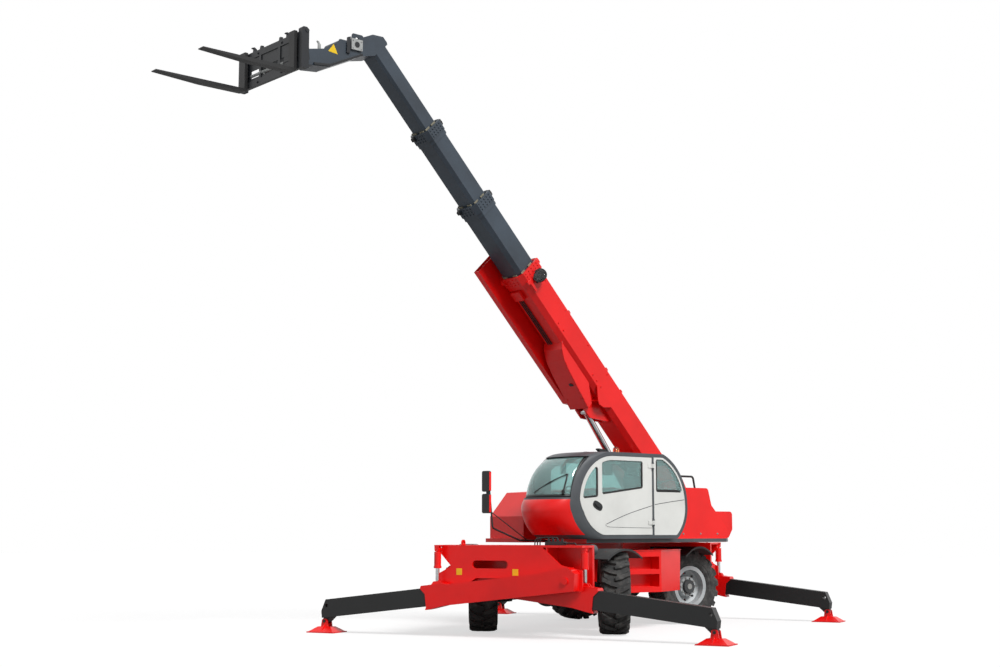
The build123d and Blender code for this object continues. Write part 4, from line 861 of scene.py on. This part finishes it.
deckEdge = {
    "low": 1.303, "high": 1.357, "out": 0.006,
    "line": [(1.200, -1.250), (1.230, 0.480), (1.020, 0.620), (1.020, 2.030), (0.720, 2.420),
             (-0.700, 2.420)],
}
weightBolts = [
    # on the left box and on the rear of the weight
    *((addBolt, (1.0, y, 1.43), (1, 0, 0), 0.011) for y in (1.05, 1.45, 1.85)),
    *((addBolt, (x, 2.5705, 1.72), (0, 1, 0), 0.013) for x in (-0.5, 0, 0.5)),
]
mirrorHeights = ((1.745, 1.995), (2.055, 2.325))
mirrorGlass = [(addSlab, (0.305, -2.4295, z0), (0.435, -2.4265, z1)) for z0, z1 in mirrorHeights]
mirrorEdge = [(addSlab, (0.4505, -2.468, z0), (0.456, -2.432, z1)) for z0, z1 in mirrorHeights]


def fillDeckEdge(shape):
    # a grey strip along the deck's left and rear edge
    low, high, line = deckEdge["low"], deckEdge["high"], deckEdge["line"]
    for (xa, ya), (xb, yb) in zip(line, line[1:]):
        out = Vector((yb - ya, xa - xb)).normalized() * deckEdge["out"]
        strip = [(xa, ya), (xb, yb), (xb + out.x, yb + out.y), (xa + out.x, ya + out.y)]
        addPrism(shape, *([(x, y, z) for x, y in strip] for z in (low, high)))


buildPiece("deckEdge", turretPlace, "turret", "greyEnamel", fillDeckEdge, 0.001)
buildPiece("weightBolts", turretPlace, "turret", "zincBolt", weightBolts, 0.001)
buildPiece("mirrorGlass", turretPlace, "turret", "mirrorGlass", mirrorGlass, 0.001)
buildPiece("mirrorEdge", turretPlace, "turret", "redEnamel", mirrorEdge, 0.001)


lamps = {
    "x": 0.93, "face": -2.35, "z": 1.215, "apart": 0.15, "sides": 32,
    "rim": ((0.055, 0), (0.062, 0), (0.060, -0.006), (0.056, -0.006)),     # radius, and out of the face
    # rows for addTurned
    "lens": ((0.004, -0.004, 0.054, 0.042, 32),),
    "bowl": ((0.0115, 0.0105, 0.052, 0.052, 32), (0.0105, 0.0025, 0.016, 0.010, 20)),
}
lampPlaces = [(side * lamps["x"] + share * lamps["apart"], lamps["face"], lamps["z"])
              for side in (-1, 1) for share in (-0.5, 0.5)]


def fillLampRims(shape):
    sides = lamps["sides"]
    for x, y, z in lampPlaces:
        rings = [[shape.verts.new((x + r * math.cos(a), y + out, z + r * math.sin(a)))
                  for a in (2 * math.pi * i / sides for i in range(sides))] for r, out in lamps["rim"]]
        for i in range(sides):
            k = (i + 1) % sides
            for a, b in zip(rings, rings[1:] + rings[:1]):
                shape.faces.new([a[i], a[k], b[k], b[i]])


buildPiece("lampRims", chassisPlace, "chassis", "moulding", fillLampRims, 0)
for name, part, paint, bevel in (("lampLenses", "lens", "clearGlass", 0.001),
                                 ("lampBowls", "bowl", "hardChrome", 0)):
    buildPiece(name, chassisPlace, "chassis", paint,
               [(addTurned, at, (0, 1, 0), lamps[part]) for at in lampPlaces], bevel)

endTrim = {
    "reflectorHeight": 0.905, "reflectors": (-0.79, 0.10), "reflectorHalf": 0.045, "reflectorThick": 0.004,
    # the valve block on top of each end frame: its middle along the machine, and its top face
    "y": 2.70, "top": 1.2805, "blockAcross": (0.52, 0.80), "blockHalf": 0.055, "blockTall": 0.052,
    "firstUnion": 0.555, "unionPitch": 0.07, "unions": 4,
    "union": {"nut": (0, 0.022, 0.020, 6), "stub": (0.018, 0.040, 0.013, 14), "lean": 0},
    "ports": (0.02, -0.025), "portHeight": 0.03, "portEnd": 0.835, "portRadius": 0.016,
}


def chassisFace(x, z, side):
    # how far out the end plate stands at a point
    found, spot, normal, index = nodes["chassis_frame"].ray_cast((x, side * 4, z), (0, -side, 0))
    return spot.y


def fillReflectors(shape):
    half, z = endTrim["reflectorHalf"], endTrim["reflectorHeight"]
    for side in (-1, 1):
        for x in endTrim["reflectors"]:
            y = chassisFace(x, z, side)
            y0, y1 = sorted((y, y + side * endTrim["reflectorThick"]))
            addSlab(shape, (x - half, y0, z - half), (x + half, y1, z + half))


def fillValves(shape):
    # the valve block of the stabilisers and its unions
    top, half, tall = endTrim["top"], endTrim["blockHalf"], endTrim["blockTall"]
    x0, x1 = endTrim["blockAcross"]
    z = top + endTrim["portHeight"]
    for y in (-endTrim["y"], endTrim["y"]):
        addSlab(shape, (x0, y - half, top), (x1, y + half, top + tall))
        for i in range(endTrim["unions"]):
            x = endTrim["firstUnion"] + endTrim["unionPitch"] * i
            addUnion(shape, (x, y, top + tall), endTrim["union"])
        for port in endTrim["ports"]:
            addRod(shape, (x1, y + port, z), (endTrim["portEnd"], y + port, z), endTrim["portRadius"], 6)


# the step box's slanting face, with Y into the box
stepPlace = frameAt((0.85, -0.74, 0), (0.36, 0.65, 0), (-0.65, 0.36, 0))
treads = {"levels": (0.6403, 0.9003), "count": 4, "first": 0.022, "pitch": 0.04, "wide": 0.016, "tall": 0.005}
# raised bars on the floor of each step
stepTreads = [
    (addSlab, (0.09, y, z), (0.65, y + treads["wide"], z + treads["tall"]))
    for z in treads["levels"]
    for y in (treads["first"] + treads["pitch"] * i for i in range(treads["count"]))]
buildPiece("reflectors", chassisPlace, "chassis", "blankYellow", fillReflectors, 0.001)
buildPiece("valveBlocks", chassisPlace, "chassis", "mouldedPlastic", fillValves, 0.002)
buildPiece("stepTreads", stepPlace, "chassis", "redEnamel", stepTreads, 0.001)

# places across the machine and above the ports; over and down are the first pipe's, and the step to the next
valvePipe = {"radius": 0.009, "left": ((0.83, 0), (0.90, 0), (0.95, 0), (0.96, -0.02), (0.96, -0.032)),
             "port": 0.02, "right": 3, "bend": 0.04, "over": (0.44, 0.03), "down": (0.42, 0.04)}
for side, end in ((-1, "Front"), (1, "Rear")):
    y, z = side * endTrim["y"], endTrim["top"] + endTrim["portHeight"]
    addPipe("valvePipe" + end + "Left", chassisPlace, "chassis", "paintedPipe",
            [(x, y + valvePipe["port"], z + above) for x, above in valvePipe["left"]], valvePipe["radius"])
    for index in range(valvePipe["right"]):
        x = endTrim["firstUnion"] + endTrim["unionPitch"] * index
        over, down = (start - pitch * index for start, pitch in (valvePipe["over"], valvePipe["down"]))
        bend = x - valvePipe["bend"]
        route = ((x, 0.05), (x, 0.07), (bend, 0.078), (over, 0.07), (down, 0.03), (down, -0.035))
        addPipe("valvePipe" + end + "Right_" + str(index), chassisPlace, "chassis", "paintedPipe",
                [(across, y, z + above) for across, above in route], valvePipe["radius"])
print("chassis trim done")


cameraView = {
    "azimuth": 27.16, "pitch": 7.45,   # degrees: 0 looks along +Y, and the camera tips up
    "height": 1.503, "distance": 23.64, "sideways": -1.416, "lens": 53.86,
}
lighting = {
    "sun": 3.1, "sunFrom": (0.86, -0.42, 0.92), "sunAngle": 24,   # in degrees: a wide sun's shadows are soft
    "fill": 25, "fillPlace": (-9, -9, 5), "fillSize": 8, "sky": 0.33, "floor": 0.4, "floorGlow": 0.62,
}


def setCamera():
    turn, tip = math.radians(cameraView["azimuth"]), math.radians(cameraView["pitch"])
    ahead, right = Vector((-math.sin(turn), math.cos(turn), 0)), Vector((math.cos(turn), math.sin(turn), 0))
    data = bpy.data.cameras.new("camera")
    data.lens, data.sensor_width = cameraView["lens"], 36   # a full-frame sensor
    camera = bpy.data.objects.new("camera", data)
    camera.location = (right * cameraView["sideways"] - ahead * cameraView["distance"]
                       + up * cameraView["height"])
    camera.rotation_euler = (ahead * math.cos(tip) + up * math.sin(tip)).to_track_quat("-Z", "Y").to_euler()
    bpy.context.scene.collection.objects.link(camera)
    bpy.context.scene.camera = camera


def setLamps():
    sun = bpy.data.lights.new("sun", "SUN")
    sun.energy, sun.angle = lighting["sun"], math.radians(lighting["sunAngle"])
    sunObject = bpy.data.objects.new("sun", sun)
    sunObject.rotation_euler = Vector(lighting["sunFrom"]).to_track_quat("Z", "Y").to_euler()
    fill = bpy.data.lights.new("fill", "AREA")
    fill.energy, fill.size = lighting["fill"], lighting["fillSize"]
    fillObject = bpy.data.objects.new("fill", fill)
    fillObject.location = lighting["fillPlace"]
    fillObject.rotation_euler = Vector(lighting["fillPlace"]).to_track_quat("Z", "Y").to_euler()
    for lamp in (sunObject, fillObject):
        bpy.context.scene.collection.objects.link(lamp)


def setWorld():
    world = bpy.data.worlds.new("studio")
    bpy.context.scene.world = world
    world.use_nodes = True
    tree = world.node_tree
    tree.nodes.clear()
    path = addNode(tree, "LightPath")
    # the camera, mirrors and glass see plain white, and all else gets the softer sky
    seen = path.outputs["Is Camera Ray"]
    for ray in ("Is Glossy Ray", "Is Transmission Ray"):
        seen = addNode(tree, "Math", {"operation": "MAXIMUM"}, {0: seen, 1: path.outputs[ray]}).outputs[0]
    level = addRange(tree, seen, {"To Min": lighting["sky"], "To Max": 1.0})
    sky = addNode(tree, "Background", {"Color": (1, 1, 1, 1)}, {"Strength": level})
    addNode(tree, "OutputWorld", {}, {"Surface": sky.outputs[0]})


def setFloor():
    shape = bmesh.new()
    bmesh.ops.create_grid(shape, x_segments=4, y_segments=4, size=60)
    floor = bpy.data.objects.new("floor", closeMesh("floor", shape))
    material, tree = newMaterial("paperSweep")   # matt white studio paper
    path = addNode(tree, "LightPath")
    glow = addNode(tree, "Math", {"operation": "MULTIPLY", 1: lighting["floorGlow"]},
                   {0: path.outputs["Is Camera Ray"]})
    paper = addNode(tree, "BsdfDiffuse", {"Color": [lighting["floor"]] * 3 + [1]})
    light = addNode(tree, "Emission", {"Color": (1, 1, 1, 1)}, {"Strength": glow.outputs[0]})
    both = addNode(tree, "AddShader", {}, {0: paper.outputs[0], 1: light.outputs[0]})
    addNode(tree, "OutputMaterial", {}, {"Surface": both.outputs[0]})
    floor.data.materials.append(material)
    floor.location.z = -0.001
    bpy.context.scene.collection.objects.link(floor)


setCamera()
setLamps()
setWorld()
setFloor()
bpy.context.scene.view_settings.view_transform = "Standard"
print("camera, lamps and floor done")
